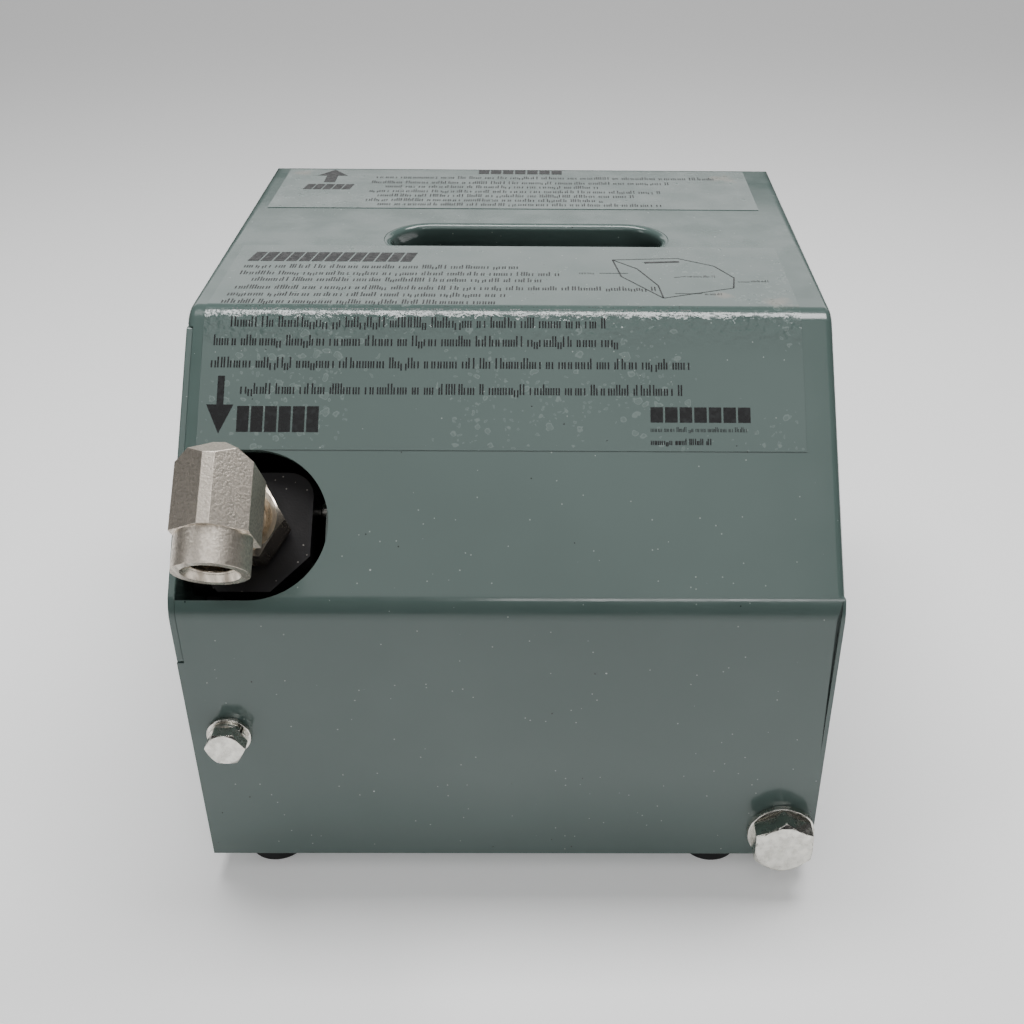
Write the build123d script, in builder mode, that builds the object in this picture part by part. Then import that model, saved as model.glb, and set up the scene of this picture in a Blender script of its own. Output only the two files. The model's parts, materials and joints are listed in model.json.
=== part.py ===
from build123d import *
import os
from math import atan, asin, cos, degrees, hypot, radians, sin, sqrt, tan

os.makedirs("parts", exist_ok=True)

# Foot valve: a sheet-steel box that holds a trigger gun, worked by a foot pedal.
# Millimetres. +X is to the right, +Y to the back, +Z up; the feet stand on Z = 0.
# Places are given from the middle of the front panel's lower edge and moved by spot().

# ---- driving dimensions: housing --------------------------------------------
box_width = 180.0
box_depth = 200.0
box_height = 150.0
front_height = 90.0
sheet = 2.0
front_bend = 10.0
top_bend = 8.0
rear_bend = 4.0
edge_round = 1.5
foot_height = 8.0
foot_radius = 10.0
elbow_reach = 25.3
inlet_reach = 12.0
half = box_width / 2
slope_run = box_height - front_height

# ---- driving dimensions: pedal ----------------------------------------------
pivot_x = 80.0
pivot_z = 10.0
pedal_front = 66.0
pedal_back = 178.0
pedal_sheet = 2.5
tube_radius = 7.5
bush_bore = 5.05
bolt_radius = 5.0
press_y = 120.0

# ---- driving dimensions: gun ------------------------------------------------
gun_x = -70.5
gun_half = 17.0
gun_wall = 3.0
gun_tilt = 50.0
corner_y = -2.5
corner_z = 127.8
inlet_z = 25.0
valve_y = 85.0
trigger_y = 73.5
trigger_z = 58.0
trigger_rise = 12.0
trigger_half_width = 5.5
lever_half = 5.0
dome_radius = 5.0
body_radius = 9.5
body_high = 42.0
running_gap = 0.35

# ---- frame -------------------------------------------------------------------
front_y = -(box_depth + inlet_reach - elbow_reach) / 2


def spot(x, y, z):
    return Vector(x, front_y + y, foot_height + z)


def level(z):
    return Plane(origin=spot(0, 0, z), x_dir=(1, 0, 0), z_dir=(0, 0, 1))


def side(x):
    return Plane(origin=spot(x, 0, 0), x_dir=(0, 1, 0), z_dir=(1, 0, 0))


def upright(y):
    return Plane(origin=spot(0, y, 0), x_dir=(1, 0, 0), z_dir=(0, -1, 0))


slope_face = Plane(origin=spot(0, 0, front_height), x_dir=(1, 0, 0), z_dir=(0, -1, 1))

# The gun's axis leans up and forwards; the elbow's mouth leans down and forwards.
tilt_cos = cos(radians(gun_tilt))
tilt_sin = sin(radians(gun_tilt))


def gun_section(depth):
    """A plane square to the gun's axis, this far below the elbow's corner."""
    origin = spot(gun_x, corner_y + depth * tilt_cos, corner_z - depth * tilt_sin)
    return Plane(origin=origin, x_dir=(1, 0, 0), z_dir=(0, -tilt_cos, tilt_sin))


def mouth_section(reach):
    """A plane square to the elbow's outlet, this far from its corner."""
    origin = spot(gun_x, corner_y - reach * tilt_sin, corner_z - reach * tilt_cos)
    return Plane(origin=origin, x_dir=(1, 0, 0), z_dir=(0, -tilt_sin, -tilt_cos))


def gun_point(depth, offset):
    """Side-view place: depth along the gun's axis, offset square to it."""
    y = corner_y + depth * tilt_cos + offset * tilt_sin
    z = corner_z - depth * tilt_sin + offset * tilt_cos
    return (y, z)


# The pedal's rest slope makes its dome just clear the raised trigger.
rise_cos = cos(radians(trigger_rise))
dome_z = (
    trigger_z
    + (press_y - trigger_y) * tan(radians(trigger_rise))
    + (lever_half + dome_radius + running_gap) / rise_cos
)
dome_drop = 1.5
dome_x = gun_x + 3.0
dome_run = pivot_x - dome_x
dome_rise = dome_z - pivot_z
dome_arm = hypot(dome_run, dome_rise)
pedal_slope = degrees(atan(dome_rise / dome_run) + asin(dome_drop / dome_arm))
pedal_cos = cos(radians(pedal_slope))
pedal_sin = sin(radians(pedal_slope))
dome_along = sqrt(dome_arm**2 - dome_drop**2)


def pedal_plane(height):
    """A plane along the pedal: its X runs up the pedal from the pivot, its Y forwards."""
    origin = spot(pivot_x + height * pedal_sin, 0, pivot_z + height * pedal_cos)
    return Plane(origin=origin, x_dir=(-pedal_cos, 0, pedal_sin), z_dir=(pedal_sin, 0, pedal_cos))


def on_pedal(along, y):
    return (along, -y)


# ---- housing shell: front, slope, top, rear and right-hand wall ---------------
bend_shift = tan(radians(22.5))
seam_z = box_height - 4.0
step_z = 72.0
mouth_margin = 14.0
slot_x = 3.0
slot_y = 120.0
slot_length = 86.0
slot_width = 25.0
slot_lip = 5.0
outlet_centre_x = -69.0
outlet_centre_u = 23.0
outlet_radius = 20.7
inlet_notch = 16.0
slit_low = 39.0
slit_high = 88.0
slit_gap = 0.8
side_screw_x = -79.0
side_screw_z = 47.0
side_screw_hole = 3.3
pivot_hole = 5.3
open_below = 5.0


def wrap_outline(inset, bottom):
    """The bent strip's side view, inset square to every panel."""
    corner = inset * bend_shift
    points = [
        (inset, bottom),
        (inset, front_height - corner),
        (slope_run + corner, box_height - inset),
        (box_depth - inset, box_height - inset),
        (box_depth - inset, bottom),
    ]
    bends = [front_bend - inset, top_bend - inset, rear_bend - inset]
    return points, bends


outer_points, outer_bends = wrap_outline(0, 0)
inner_points, inner_bends = wrap_outline(sheet, -open_below)

with BuildPart() as housing:
    with BuildSketch(side(-half)):
        with BuildLine():
            FilletPolyline(*outer_points, radius=outer_bends)
            Line(outer_points[-1], outer_points[0])
        make_face()
    extrude(amount=box_width)
    ends = housing.faces().filter_by(Axis.X)
    upper = ends.edges().filter_by(lambda e: e.center().Z > foot_height + front_height - front_bend)
    rounded = upper.filter_by(lambda e: e.center().Y < front_y + box_depth - rear_bend)
    fillet(rounded, edge_round)
    with BuildSketch(side(-half + sheet)):
        with BuildLine():
            FilletPolyline(*inner_points, radius=inner_bends)
            Line(inner_points[-1], inner_points[0])
        make_face()
    extrude(amount=box_width - 2 * sheet, mode=Mode.SUBTRACT)
    # The removable side plate lies outside these left-hand edges.
    with BuildSketch(side(-half)):
        with BuildLine():
            Polyline(
                (sheet, -open_below),
                (sheet, step_z),
                (-sheet, step_z),
                (-sheet, seam_z),
                (box_depth + sheet, seam_z),
                (box_depth + sheet, -open_below),
                close=True,
            )
        make_face()
    extrude(amount=sheet, mode=Mode.SUBTRACT)
    # The mouth that the foot goes in by.
    mouth_slope = mouth_margin * bend_shift
    with BuildSketch(side(half - 2 * sheet)):
        with BuildLine():
            FilletPolyline(
                (mouth_margin, -open_below),
                (mouth_margin, front_height - mouth_slope),
                (slope_run + mouth_slope, box_height - mouth_margin),
                (box_depth - mouth_margin, box_height - mouth_margin),
                (box_depth - mouth_margin, -open_below),
                radius=mouth_margin,
            )
            Line((box_depth - mouth_margin, -open_below), (mouth_margin, -open_below))
        make_face()
    extrude(amount=3 * sheet, mode=Mode.SUBTRACT)
    # Handle slot with its rim turned down.
    with BuildSketch(level(box_height - sheet - slot_lip)):
        with Locations((slot_x, slot_y)):
            SlotOverall(slot_length + 2 * sheet, slot_width + 2 * sheet)
    extrude(amount=slot_lip)
    with BuildSketch(level(box_height - 2 * slot_lip)):
        with Locations((slot_x, slot_y)):
            SlotOverall(slot_length, slot_width)
    extrude(amount=3 * slot_lip, mode=Mode.SUBTRACT)
    rim = housing.edges().filter_by_position(
        Axis.Z, foot_height + box_height - 0.01, foot_height + box_height + 0.01
    )
    rim_inner = rim.filter_by(
        lambda e: abs(e.center().Y - front_y - slot_y) <= slot_width
        and abs(e.center().X - slot_x) <= slot_length / 2
    )
    fillet(rim_inner, edge_round)
    # Round-ended outlet opening in the slope, open to the left.
    with BuildSketch(slope_face.offset(sheet)):
        with Locations((outlet_centre_x, outlet_centre_u)):
            Circle(outlet_radius)
        with Locations(((outlet_centre_x - half) / 2 - sheet, outlet_centre_u)):
            Rectangle(half + outlet_centre_x + 2 * sheet, 2 * outlet_radius)
    extrude(amount=-5 * sheet, mode=Mode.SUBTRACT)
    # Inlet notch in the rear panel, open to the left.
    with BuildSketch(upright(box_depth - 2 * sheet)):
        with Locations((gun_x, inlet_z)):
            Circle(inlet_notch)
        with Locations(((gun_x - half) / 2, inlet_z)):
            Rectangle(half + gun_x, 2 * inlet_notch)
    extrude(amount=-3 * sheet, mode=Mode.SUBTRACT)
    # Bolt holes, front and rear, and the side screw's hole.
    with BuildSketch(upright(-sheet)):
        with Locations((pivot_x, pivot_z)):
            Circle(pivot_hole)
    extrude(amount=-(box_depth + 2 * sheet), mode=Mode.SUBTRACT)
    with BuildSketch(upright(-sheet)):
        with Locations((side_screw_x, side_screw_z)):
            Circle(side_screw_hole)
    extrude(amount=-3 * sheet, mode=Mode.SUBTRACT)
    # The front panel's edge gapes a little from the right-hand wall above its weld.
    with BuildSketch(upright(-sheet)):
        with BuildLine():
            Polyline(
                (half - sheet, slit_low),
                (half - sheet, slit_high),
                (half - sheet - slit_gap, slit_high),
                close=True,
            )
        make_face()
    extrude(amount=-2 * sheet, mode=Mode.SUBTRACT)

# The wall round the mouth and the rear panel are plates welded to the bent strip.
with BuildPart() as mouth_wall:
    add(housing.part)
    split(bisect_by=side(half - sheet), keep=Keep.TOP)
mouth_wall.part.label = "mouth_wall"
export_step(mouth_wall.part, "parts/mouth_wall.step")

with BuildPart() as rear_panel:
    add(housing.part)
    split(bisect_by=side(half - sheet), keep=Keep.BOTTOM)
    split(bisect_by=upright(box_depth - sheet), keep=Keep.BOTTOM)
rear_panel.part.label = "rear_panel"
export_step(rear_panel.part, "parts/rear_panel.step")

with BuildPart() as housing_shell:
    add(housing.part)
    split(bisect_by=side(half - sheet), keep=Keep.BOTTOM)
    split(bisect_by=upright(box_depth - sheet), keep=Keep.TOP)
housing_shell.part.label = "housing_shell"
export_step(housing_shell.part, "parts/housing_shell.step")

# ---- clear printed films on the top and over the upper bend --------------------
film_thick = 0.2
film_left = -85.0
film_right = 81.0
rear_film_front = 150.0
rear_film_back = 195.0
wrap_film_back = 112.0
wrap_film_low_u = 43.8
wrap_film_low = front_height + wrap_film_low_u / sqrt(2)
film_points, film_bends = wrap_outline(-film_thick, 0)
with BuildPart() as label_films:
    with BuildSketch(level(box_height)):
        with Locations(((film_left + film_right) / 2, (rear_film_front + rear_film_back) / 2)):
            Rectangle(film_right - film_left, rear_film_back - rear_film_front)
    extrude(amount=film_thick)
    with BuildSketch(side(film_left)):
        with BuildLine():
            FilletPolyline(*film_points, radius=film_bends)
            Line(film_points[-1], film_points[0])
        make_face()
        with BuildLine():
            FilletPolyline(*outer_points, radius=outer_bends)
            Line(outer_points[-1], outer_points[0])
        make_face(mode=Mode.SUBTRACT)
        with Locations((wrap_film_back / 2, (wrap_film_low + box_height) / 2 + sheet)):
            Rectangle(wrap_film_back, box_height - wrap_film_low + 2 * sheet, mode=Mode.INTERSECT)
    extrude(amount=film_right - film_left)
label_films.part.label = "label_films"
export_step(label_films.part, "parts/label_films.step")

# ---- side plate: the removable left-hand wall --------------------------------
flange_width = 18.0
plate_gap = 0.3
with BuildPart() as side_plate:
    with BuildSketch(side(-half)):
        with BuildLine():
            FilletPolyline(
                (sheet, 0),
                (sheet, step_z + plate_gap),
                (0, step_z + plate_gap),
                (0, front_height),
                (slope_run - (box_height - seam_z), seam_z - plate_gap),
                (box_depth, seam_z - plate_gap),
                (box_depth, 0),
                radius=[0.5, 0.5, front_bend, 1.0, 1.0],
            )
            Line((box_depth, 0), (sheet, 0))
        make_face()
    extrude(amount=sheet)
    with BuildSketch(side(-half + sheet)):
        with Locations((1.5 * sheet, step_z / 2)):
            Rectangle(sheet, step_z - 2)
        with Locations((box_depth - 1.5 * sheet, 100)):
            Rectangle(sheet, 60)
    extrude(amount=flange_width - sheet)
    with BuildSketch(upright(0)):
        with Locations((side_screw_x, side_screw_z)):
            Circle(side_screw_hole)
    extrude(amount=-3 * sheet, mode=Mode.SUBTRACT)
side_plate.part.label = "side_plate"
export_step(side_plate.part, "parts/side_plate.step")

# ---- base plate and rubber feet ------------------------------------------------
base_left = -half + sheet
base_right = 70.0
foot_inset = 13.5
foot_places = [(x, y) for y in (foot_inset, box_depth - foot_inset) for x in (-73.5, 61.0)]
foot_hole = 2.75
weld_flange = 11.0
drain_radius = 4.0
base_middle = (base_left + base_right) / 2
with BuildPart() as base_plate:
    with BuildSketch(level(0)):
        with Locations((base_middle, box_depth / 2)):
            Rectangle(base_right - base_left, box_depth - 4 * sheet)
    extrude(amount=sheet)
    with BuildSketch(level(0)):
        for y in (1.5 * sheet, box_depth - 1.5 * sheet):
            with Locations((base_middle + flange_width / 2, y)):
                Rectangle(base_right - base_left - flange_width, sheet)
    extrude(amount=weld_flange)
    with BuildSketch(level(-1)):
        with Locations(*foot_places):
            Circle(foot_hole)
        with Locations((20, 60), (20, 140), (-20, 60), (40, 100)):
            Circle(drain_radius)
    extrude(amount=2 * sheet, mode=Mode.SUBTRACT)
base_plate.part.label = "base_plate"
export_step(base_plate.part, "parts/base_plate.step")

foot_taper = 1.2
foot_recess = 3.0
with BuildPart() as rubber_feet:
    with BuildSketch(level(-foot_height)):
        with Locations(*foot_places):
            Circle(foot_radius - foot_taper)
    extrude(amount=foot_height, taper=-degrees(atan(foot_taper / foot_height)))
    with BuildSketch(level(-foot_height)):
        with Locations(*foot_places):
            Circle(5.5)
    extrude(amount=foot_recess, mode=Mode.SUBTRACT)
    with BuildSketch(level(-foot_height)):
        with Locations(*foot_places):
            Circle(foot_hole)
    extrude(amount=foot_height, mode=Mode.SUBTRACT)
rubber_feet.part.label = "rubber_feet"
export_step(rubber_feet.part, "parts/rubber_feet.step")

m5_shank = 2.5
m5_head = 4.75
with BuildPart() as foot_screws:
    with BuildSketch(level(-foot_height + foot_recess)):
        with Locations(*foot_places):
            Circle(m5_head)
    extrude(amount=-2.6)
    with BuildSketch(level(-foot_height + foot_recess)):
        with Locations(*foot_places):
            Circle(m5_shank)
    extrude(amount=foot_height - foot_recess + sheet + 6)
foot_screws.part.label = "foot_screws"
export_step(foot_screws.part, "parts/foot_screws.step")

with BuildPart() as foot_nuts:
    with BuildSketch(level(sheet)):
        with Locations(*foot_places):
            RegularPolygon(4, 6, major_radius=False)
    extrude(amount=4)
    with BuildSketch(level(sheet)):
        with Locations(*foot_places):
            Circle(m5_shank)
    extrude(amount=4, mode=Mode.SUBTRACT)
foot_nuts.part.label = "foot_nuts"
export_step(foot_nuts.part, "parts/foot_nuts.step")

# ---- gun bracket: upright plate between the gun and the foot --------------------
bracket_x = -50.0
bracket_top = 6.0 * sqrt(2)
bracket_foot = 12.0
bracket_screws = [(bracket_x - 7, 60.0), (bracket_x - 7, 160.0)]
gun_fixings = [gun_point(62, -11), (165.0, inlet_z - 9.5)]
window_front = 98.0
window_back = 142.0
window_low = 38.0
window_high = 97.0
with BuildPart() as gun_bracket:
    with BuildSketch(side(bracket_x)):
        with BuildLine():
            Polyline(
                (10, sheet),
                (10, 10 + front_height - bracket_top),
                (50, 50 + front_height - bracket_top),
                (80, 50 + front_height - bracket_top),
                (106, 106),
                (192, 106),
                (192, sheet),
                close=True,
            )
        make_face()
        with Locations(((window_front + window_back) / 2, (window_low + window_high) / 2)):
            RectangleRounded(window_back - window_front, window_high - window_low, 5, mode=Mode.SUBTRACT)
        with Locations(*gun_fixings):
            Circle(foot_hole, mode=Mode.SUBTRACT)
    extrude(amount=sheet)
    with BuildSketch(level(sheet)):
        with Locations((bracket_x - bracket_foot / 2, 110)):
            Rectangle(bracket_foot, 160)
        with Locations(*bracket_screws):
            Circle(foot_hole, mode=Mode.SUBTRACT)
    extrude(amount=sheet)
gun_bracket.part.label = "gun_bracket"
export_step(gun_bracket.part, "parts/gun_bracket.step")

# ---- pedal: tube, plate, tread, dome screw ---------------------------------------
tube_front = 4.0
tube_back = box_depth - 4.0
bush_radius = 6.0
bush_length = 15.0
bush_flange = 1.4
with BuildPart() as pedal_tube:
    with BuildSketch(upright(tube_front)):
        with Locations((pivot_x, pivot_z)):
            Circle(tube_radius)
            Circle(bush_radius, mode=Mode.SUBTRACT)
    extrude(amount=-(tube_back - tube_front))
pedal_tube.part.label = "pedal_tube"
export_step(pedal_tube.part, "parts/pedal_tube.step")

with BuildPart() as pedal_bushes:
    for start, into in ((tube_front, -1), (tube_back, 1)):
        with BuildSketch(upright(start)):
            with Locations((pivot_x, pivot_z)):
                Circle(bush_radius)
                Circle(bush_bore, mode=Mode.SUBTRACT)
        extrude(amount=into * bush_length)
        with BuildSketch(upright(start)):
            with Locations((pivot_x, pivot_z)):
                Circle(tube_radius)
                Circle(bush_bore, mode=Mode.SUBTRACT)
        extrude(amount=-into * bush_flange)
pedal_bushes.part.label = "pedal_bushes"
export_step(pedal_bushes.part, "parts/pedal_bushes.step")

plate_low = tube_radius
plate_start = -4.0
plate_end = 133.0
arm_end = dome_along + 9.0
arm_width = 26.0
pedal_middle = (pedal_front + pedal_back) / 2
pedal_lip = 7.0
lip_start = 14.0
screw_hole = 3.1
with BuildPart() as foot_pedal:
    with BuildSketch(pedal_plane(plate_low)):
        with Locations(on_pedal((plate_start + plate_end) / 2, pedal_middle)):
            RectangleRounded(plate_end - plate_start, pedal_back - pedal_front, 8)
        with Locations(on_pedal((plate_end + arm_end) / 2 - 6, press_y)):
            RectangleRounded(arm_end - plate_end + 12, arm_width, 5)
        with Locations(on_pedal(dome_along, press_y)):
            Circle(screw_hole, mode=Mode.SUBTRACT)
    extrude(amount=pedal_sheet)
    # Stiffening lips turned down along the front and back edges.
    with BuildSketch(pedal_plane(plate_low)):
        for y in (pedal_front + pedal_sheet / 2, pedal_back - pedal_sheet / 2):
            with Locations(on_pedal((lip_start + plate_end - 10) / 2, y)):
                Rectangle(plate_end - 10 - lip_start, pedal_sheet)
    extrude(amount=-pedal_lip)
foot_pedal.part.label = "foot_pedal"
export_step(foot_pedal.part, "parts/foot_pedal.step")

tread_thick = 3.0
tread_rib = 1.2
tread_start = 18.0
tread_end = 130.0
rib_count = 9
with BuildPart() as pedal_tread:
    with BuildSketch(pedal_plane(plate_low + pedal_sheet)):
        with Locations(on_pedal((tread_start + tread_end) / 2, pedal_middle)):
            RectangleRounded(tread_end - tread_start, pedal_back - pedal_front - 10, 6)
    extrude(amount=tread_thick)
    with BuildSketch(pedal_plane(plate_low + pedal_sheet + tread_thick)):
        with Locations(on_pedal((tread_start + tread_end) / 2, pedal_middle)):
            with GridLocations((tread_end - tread_start - 12) / (rib_count - 1), 1, rib_count, 1):
                RectangleRounded(5, pedal_back - pedal_front - 22, 2.4)
    extrude(amount=tread_rib)
pedal_tread.part.label = "pedal_tread"
export_step(pedal_tread.part, "parts/pedal_tread.step")

m6_shank = 3.0
thread_top = plate_low + pedal_sheet + 9.0
with BuildPart() as dome_screw:
    with BuildSketch(pedal_plane(-dome_drop)):
        with Locations(on_pedal(dome_along, press_y)):
            Circle(dome_radius)
    extrude(amount=plate_low + dome_drop - 5.0)
    with BuildSketch(pedal_plane(-dome_drop)):
        with Locations(on_pedal(dome_along, press_y)):
            Circle(m6_shank)
    extrude(amount=thread_top + dome_drop)
    with Locations(pedal_plane(-dome_drop).location * Location((dome_along, -press_y, 0))):
        Sphere(dome_radius)
dome_screw.part.label = "dome_screw"
export_step(dome_screw.part, "parts/dome_screw.step")

with BuildPart() as dome_nuts:
    with BuildSketch(pedal_plane(plate_low + pedal_sheet)):
        with Locations(on_pedal(dome_along, press_y)):
            RegularPolygon(5, 6, major_radius=False)
            Circle(m6_shank, mode=Mode.SUBTRACT)
    extrude(amount=5)
    with BuildSketch(pedal_plane(plate_low)):
        with Locations(on_pedal(dome_along, press_y)):
            RegularPolygon(5, 6, major_radius=False)
            Circle(m6_shank, mode=Mode.SUBTRACT)
    extrude(amount=-4)
dome_nuts.part.label = "dome_nuts"
export_step(dome_nuts.part, "parts/dome_nuts.step")

# Hexagons have their corners turned off by a flat cone.
corner_cone = -60.0
corner_land = 0.97

# ---- pivot bolt, washers and nut ---------------------------------------------------
m10_flats = 17.0
m10_head = 6.4
m10_washer = 10.0
washer_thick = 2.0
nut_thick = 8.0
with BuildPart() as pivot_bolt:
    with BuildSketch(upright(-washer_thick)):
        with Locations((pivot_x, pivot_z)):
            RegularPolygon(m10_flats / 2, 6, major_radius=False, rotation=30)
    extrude(amount=m10_head)
    with BuildSketch(upright(-washer_thick - m10_head)):
        with Locations((pivot_x, pivot_z)):
            Circle(corner_land * m10_flats / 2)
    extrude(amount=-m10_head, taper=corner_cone, mode=Mode.INTERSECT)
    with BuildSketch(upright(-washer_thick)):
        with Locations((pivot_x, pivot_z)):
            Circle(bolt_radius)
    extrude(amount=-(box_depth + 2 * washer_thick + nut_thick))
pivot_bolt.part.label = "pivot_bolt"
export_step(pivot_bolt.part, "parts/pivot_bolt.step")

with BuildPart() as pivot_washers:
    for start in (0, box_depth + washer_thick):
        with BuildSketch(upright(start)):
            with Locations((pivot_x, pivot_z)):
                Circle(m10_washer)
                Circle(bolt_radius, mode=Mode.SUBTRACT)
        extrude(amount=washer_thick)
pivot_washers.part.label = "pivot_washers"
export_step(pivot_washers.part, "parts/pivot_washers.step")

with BuildPart() as pivot_nut:
    with BuildSketch(upright(box_depth + washer_thick)):
        with Locations((pivot_x, pivot_z)):
            RegularPolygon(m10_flats / 2, 6, major_radius=False, rotation=30)
    extrude(amount=-nut_thick)
    with BuildSketch(upright(box_depth + washer_thick + nut_thick)):
        with Locations((pivot_x, pivot_z)):
            Circle(corner_land * m10_flats / 2)
    extrude(amount=nut_thick, taper=corner_cone, mode=Mode.INTERSECT)
    with BuildSketch(upright(box_depth + washer_thick)):
        with Locations((pivot_x, pivot_z)):
            Circle(bolt_radius)
    extrude(amount=-nut_thick, mode=Mode.SUBTRACT)
pivot_nut.part.label = "pivot_nut"
export_step(pivot_nut.part, "parts/pivot_nut.step")

# ---- return spring under the pedal ---------------------------------------------------
spring_x = -10.0
spring_y = 120.0
spring_radius = 10.5
spring_wire = 1.4
perch_radius = 13.0
perch_low = 49.0
seat_top = 3.0
spring_turns = 7
with BuildPart() as spring_seat:
    with BuildSketch(level(sheet)):
        with Locations((spring_x, spring_y)):
            Circle(14)
    extrude(amount=seat_top - sheet)
    with BuildSketch(level(seat_top)):
        with Locations((spring_x, spring_y)):
            Circle(7.5)
    extrude(amount=5)
spring_seat.part.label = "spring_seat"
export_step(spring_seat.part, "parts/spring_seat.step")

with BuildPart() as spring_perch:
    with BuildSketch(level(perch_low)):
        with Locations((spring_x, spring_y)):
            Circle(perch_radius)
    extrude(amount=4 * perch_radius)
    split(bisect_by=pedal_plane(plate_low), keep=Keep.BOTTOM)
    with BuildSketch(level(perch_low)):
        with Locations((spring_x, spring_y)):
            Circle(7.0)
    extrude(amount=-4)
spring_perch.part.label = "spring_perch"
export_step(spring_perch.part, "parts/spring_perch.step")

spring_base = seat_top + spring_wire + 0.1
spring_height = perch_low - spring_wire - 0.3 - spring_base
with BuildPart() as return_spring:
    with BuildLine(Plane(origin=spot(spring_x, spring_y, spring_base))) as spring_line:
        Helix(spring_height / spring_turns, spring_height, spring_radius)
    with BuildSketch(Plane(origin=spring_line.line @ 0, z_dir=spring_line.line % 0)):
        Circle(spring_wire)
    sweep(is_frenet=True)
return_spring.part.label = "return_spring"
export_step(return_spring.part, "parts/return_spring.step")

# ---- side screw with its washers and clinch nut -----------------------------------------
side_washer = 6.25
side_thick = 1.4
lock_thick = 1.6
side_head = 4.0
m6_flats = 10.0
with BuildPart() as side_screw:
    with BuildSketch(upright(-side_thick - lock_thick)):
        with Locations((side_screw_x, side_screw_z)):
            RegularPolygon(m6_flats / 2, 6, major_radius=False)
    extrude(amount=side_head)
    with BuildSketch(upright(-side_thick - lock_thick - side_head)):
        with Locations((side_screw_x, side_screw_z)):
            Circle(corner_land * m6_flats / 2)
    extrude(amount=-side_head, taper=corner_cone, mode=Mode.INTERSECT)
    with BuildSketch(upright(-side_thick - lock_thick)):
        with Locations((side_screw_x, side_screw_z)):
            Circle(m6_shank)
    extrude(amount=-(side_thick + lock_thick + 2 * sheet + 8))
side_screw.part.label = "side_screw"
export_step(side_screw.part, "parts/side_screw.step")

with BuildPart() as side_flat_washer:
    with BuildSketch(upright(0)):
        with Locations((side_screw_x, side_screw_z)):
            Circle(side_washer)
            Circle(m6_shank, mode=Mode.SUBTRACT)
    extrude(amount=side_thick)
side_flat_washer.part.label = "side_flat_washer"
export_step(side_flat_washer.part, "parts/side_flat_washer.step")

with BuildPart() as side_lock_washer:
    with BuildSketch(upright(-side_thick)):
        with Locations((side_screw_x, side_screw_z)):
            Circle(5.4)
            Circle(m6_shank, mode=Mode.SUBTRACT)
        with Locations((side_screw_x + 4, side_screw_z + 3)):
            Rectangle(5, 0.8, rotation=40, mode=Mode.SUBTRACT)
    extrude(amount=lock_thick)
side_lock_washer.part.label = "side_lock_washer"
export_step(side_lock_washer.part, "parts/side_lock_washer.step")

with BuildPart() as side_clinch_nut:
    with BuildSketch(upright(2 * sheet)):
        with Locations((side_screw_x, side_screw_z)):
            Circle(5.5)
            Circle(m6_shank, mode=Mode.SUBTRACT)
    extrude(amount=-5)
side_clinch_nut.part.label = "side_clinch_nut"
export_step(side_clinch_nut.part, "parts/side_clinch_nut.step")

# ---- gun casing: two moulded halves ----------------------------------------------------
face_depth = 33.0
barrel_end = 92.0
grip_start = 84.0
grip_half = 15.0
grip_rear = 188.0
barrel_chamfer = 10.0
barrel_round = 7.0
heel_round = 12.0
web_round = 10.0
slot_half = 6.2
tube_hole = 6.1
pin_radius = 2.0
boss_radius = 3.2
m4_shank = 1.6
case_screws = [gun_point(48, -10.6), gun_point(48, 10.6), gun_point(88, -10.6), (125.0, inlet_z + 9.4)]


def barrel_outline(half_size, chamfer_size, round_size):
    """The barrel's section: bevelled below, rounded above."""
    Rectangle(2 * half_size, 2 * half_size)
    corners = vertices().group_by(Axis.Y)
    chamfer(corners[0], chamfer_size)
    fillet(vertices().group_by(Axis.Y)[-1], round_size)


def grip_outline(inset, rear):
    """The grip's side view, with the corner where it meets the barrel."""
    reach = gun_half - inset
    low = inlet_z - grip_half + inset
    high = inlet_z + grip_half - inset
    start_low = gun_point(grip_start, -reach)
    start_high = gun_point(grip_start, reach)
    heel = start_low[0] + (start_low[1] - low) * tilt_cos / tilt_sin
    web = start_high[0] + (start_high[1] - high) * tilt_cos / tilt_sin
    return [start_high, start_low, (heel, low), (rear, low), (rear, high), (web, high)]


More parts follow.
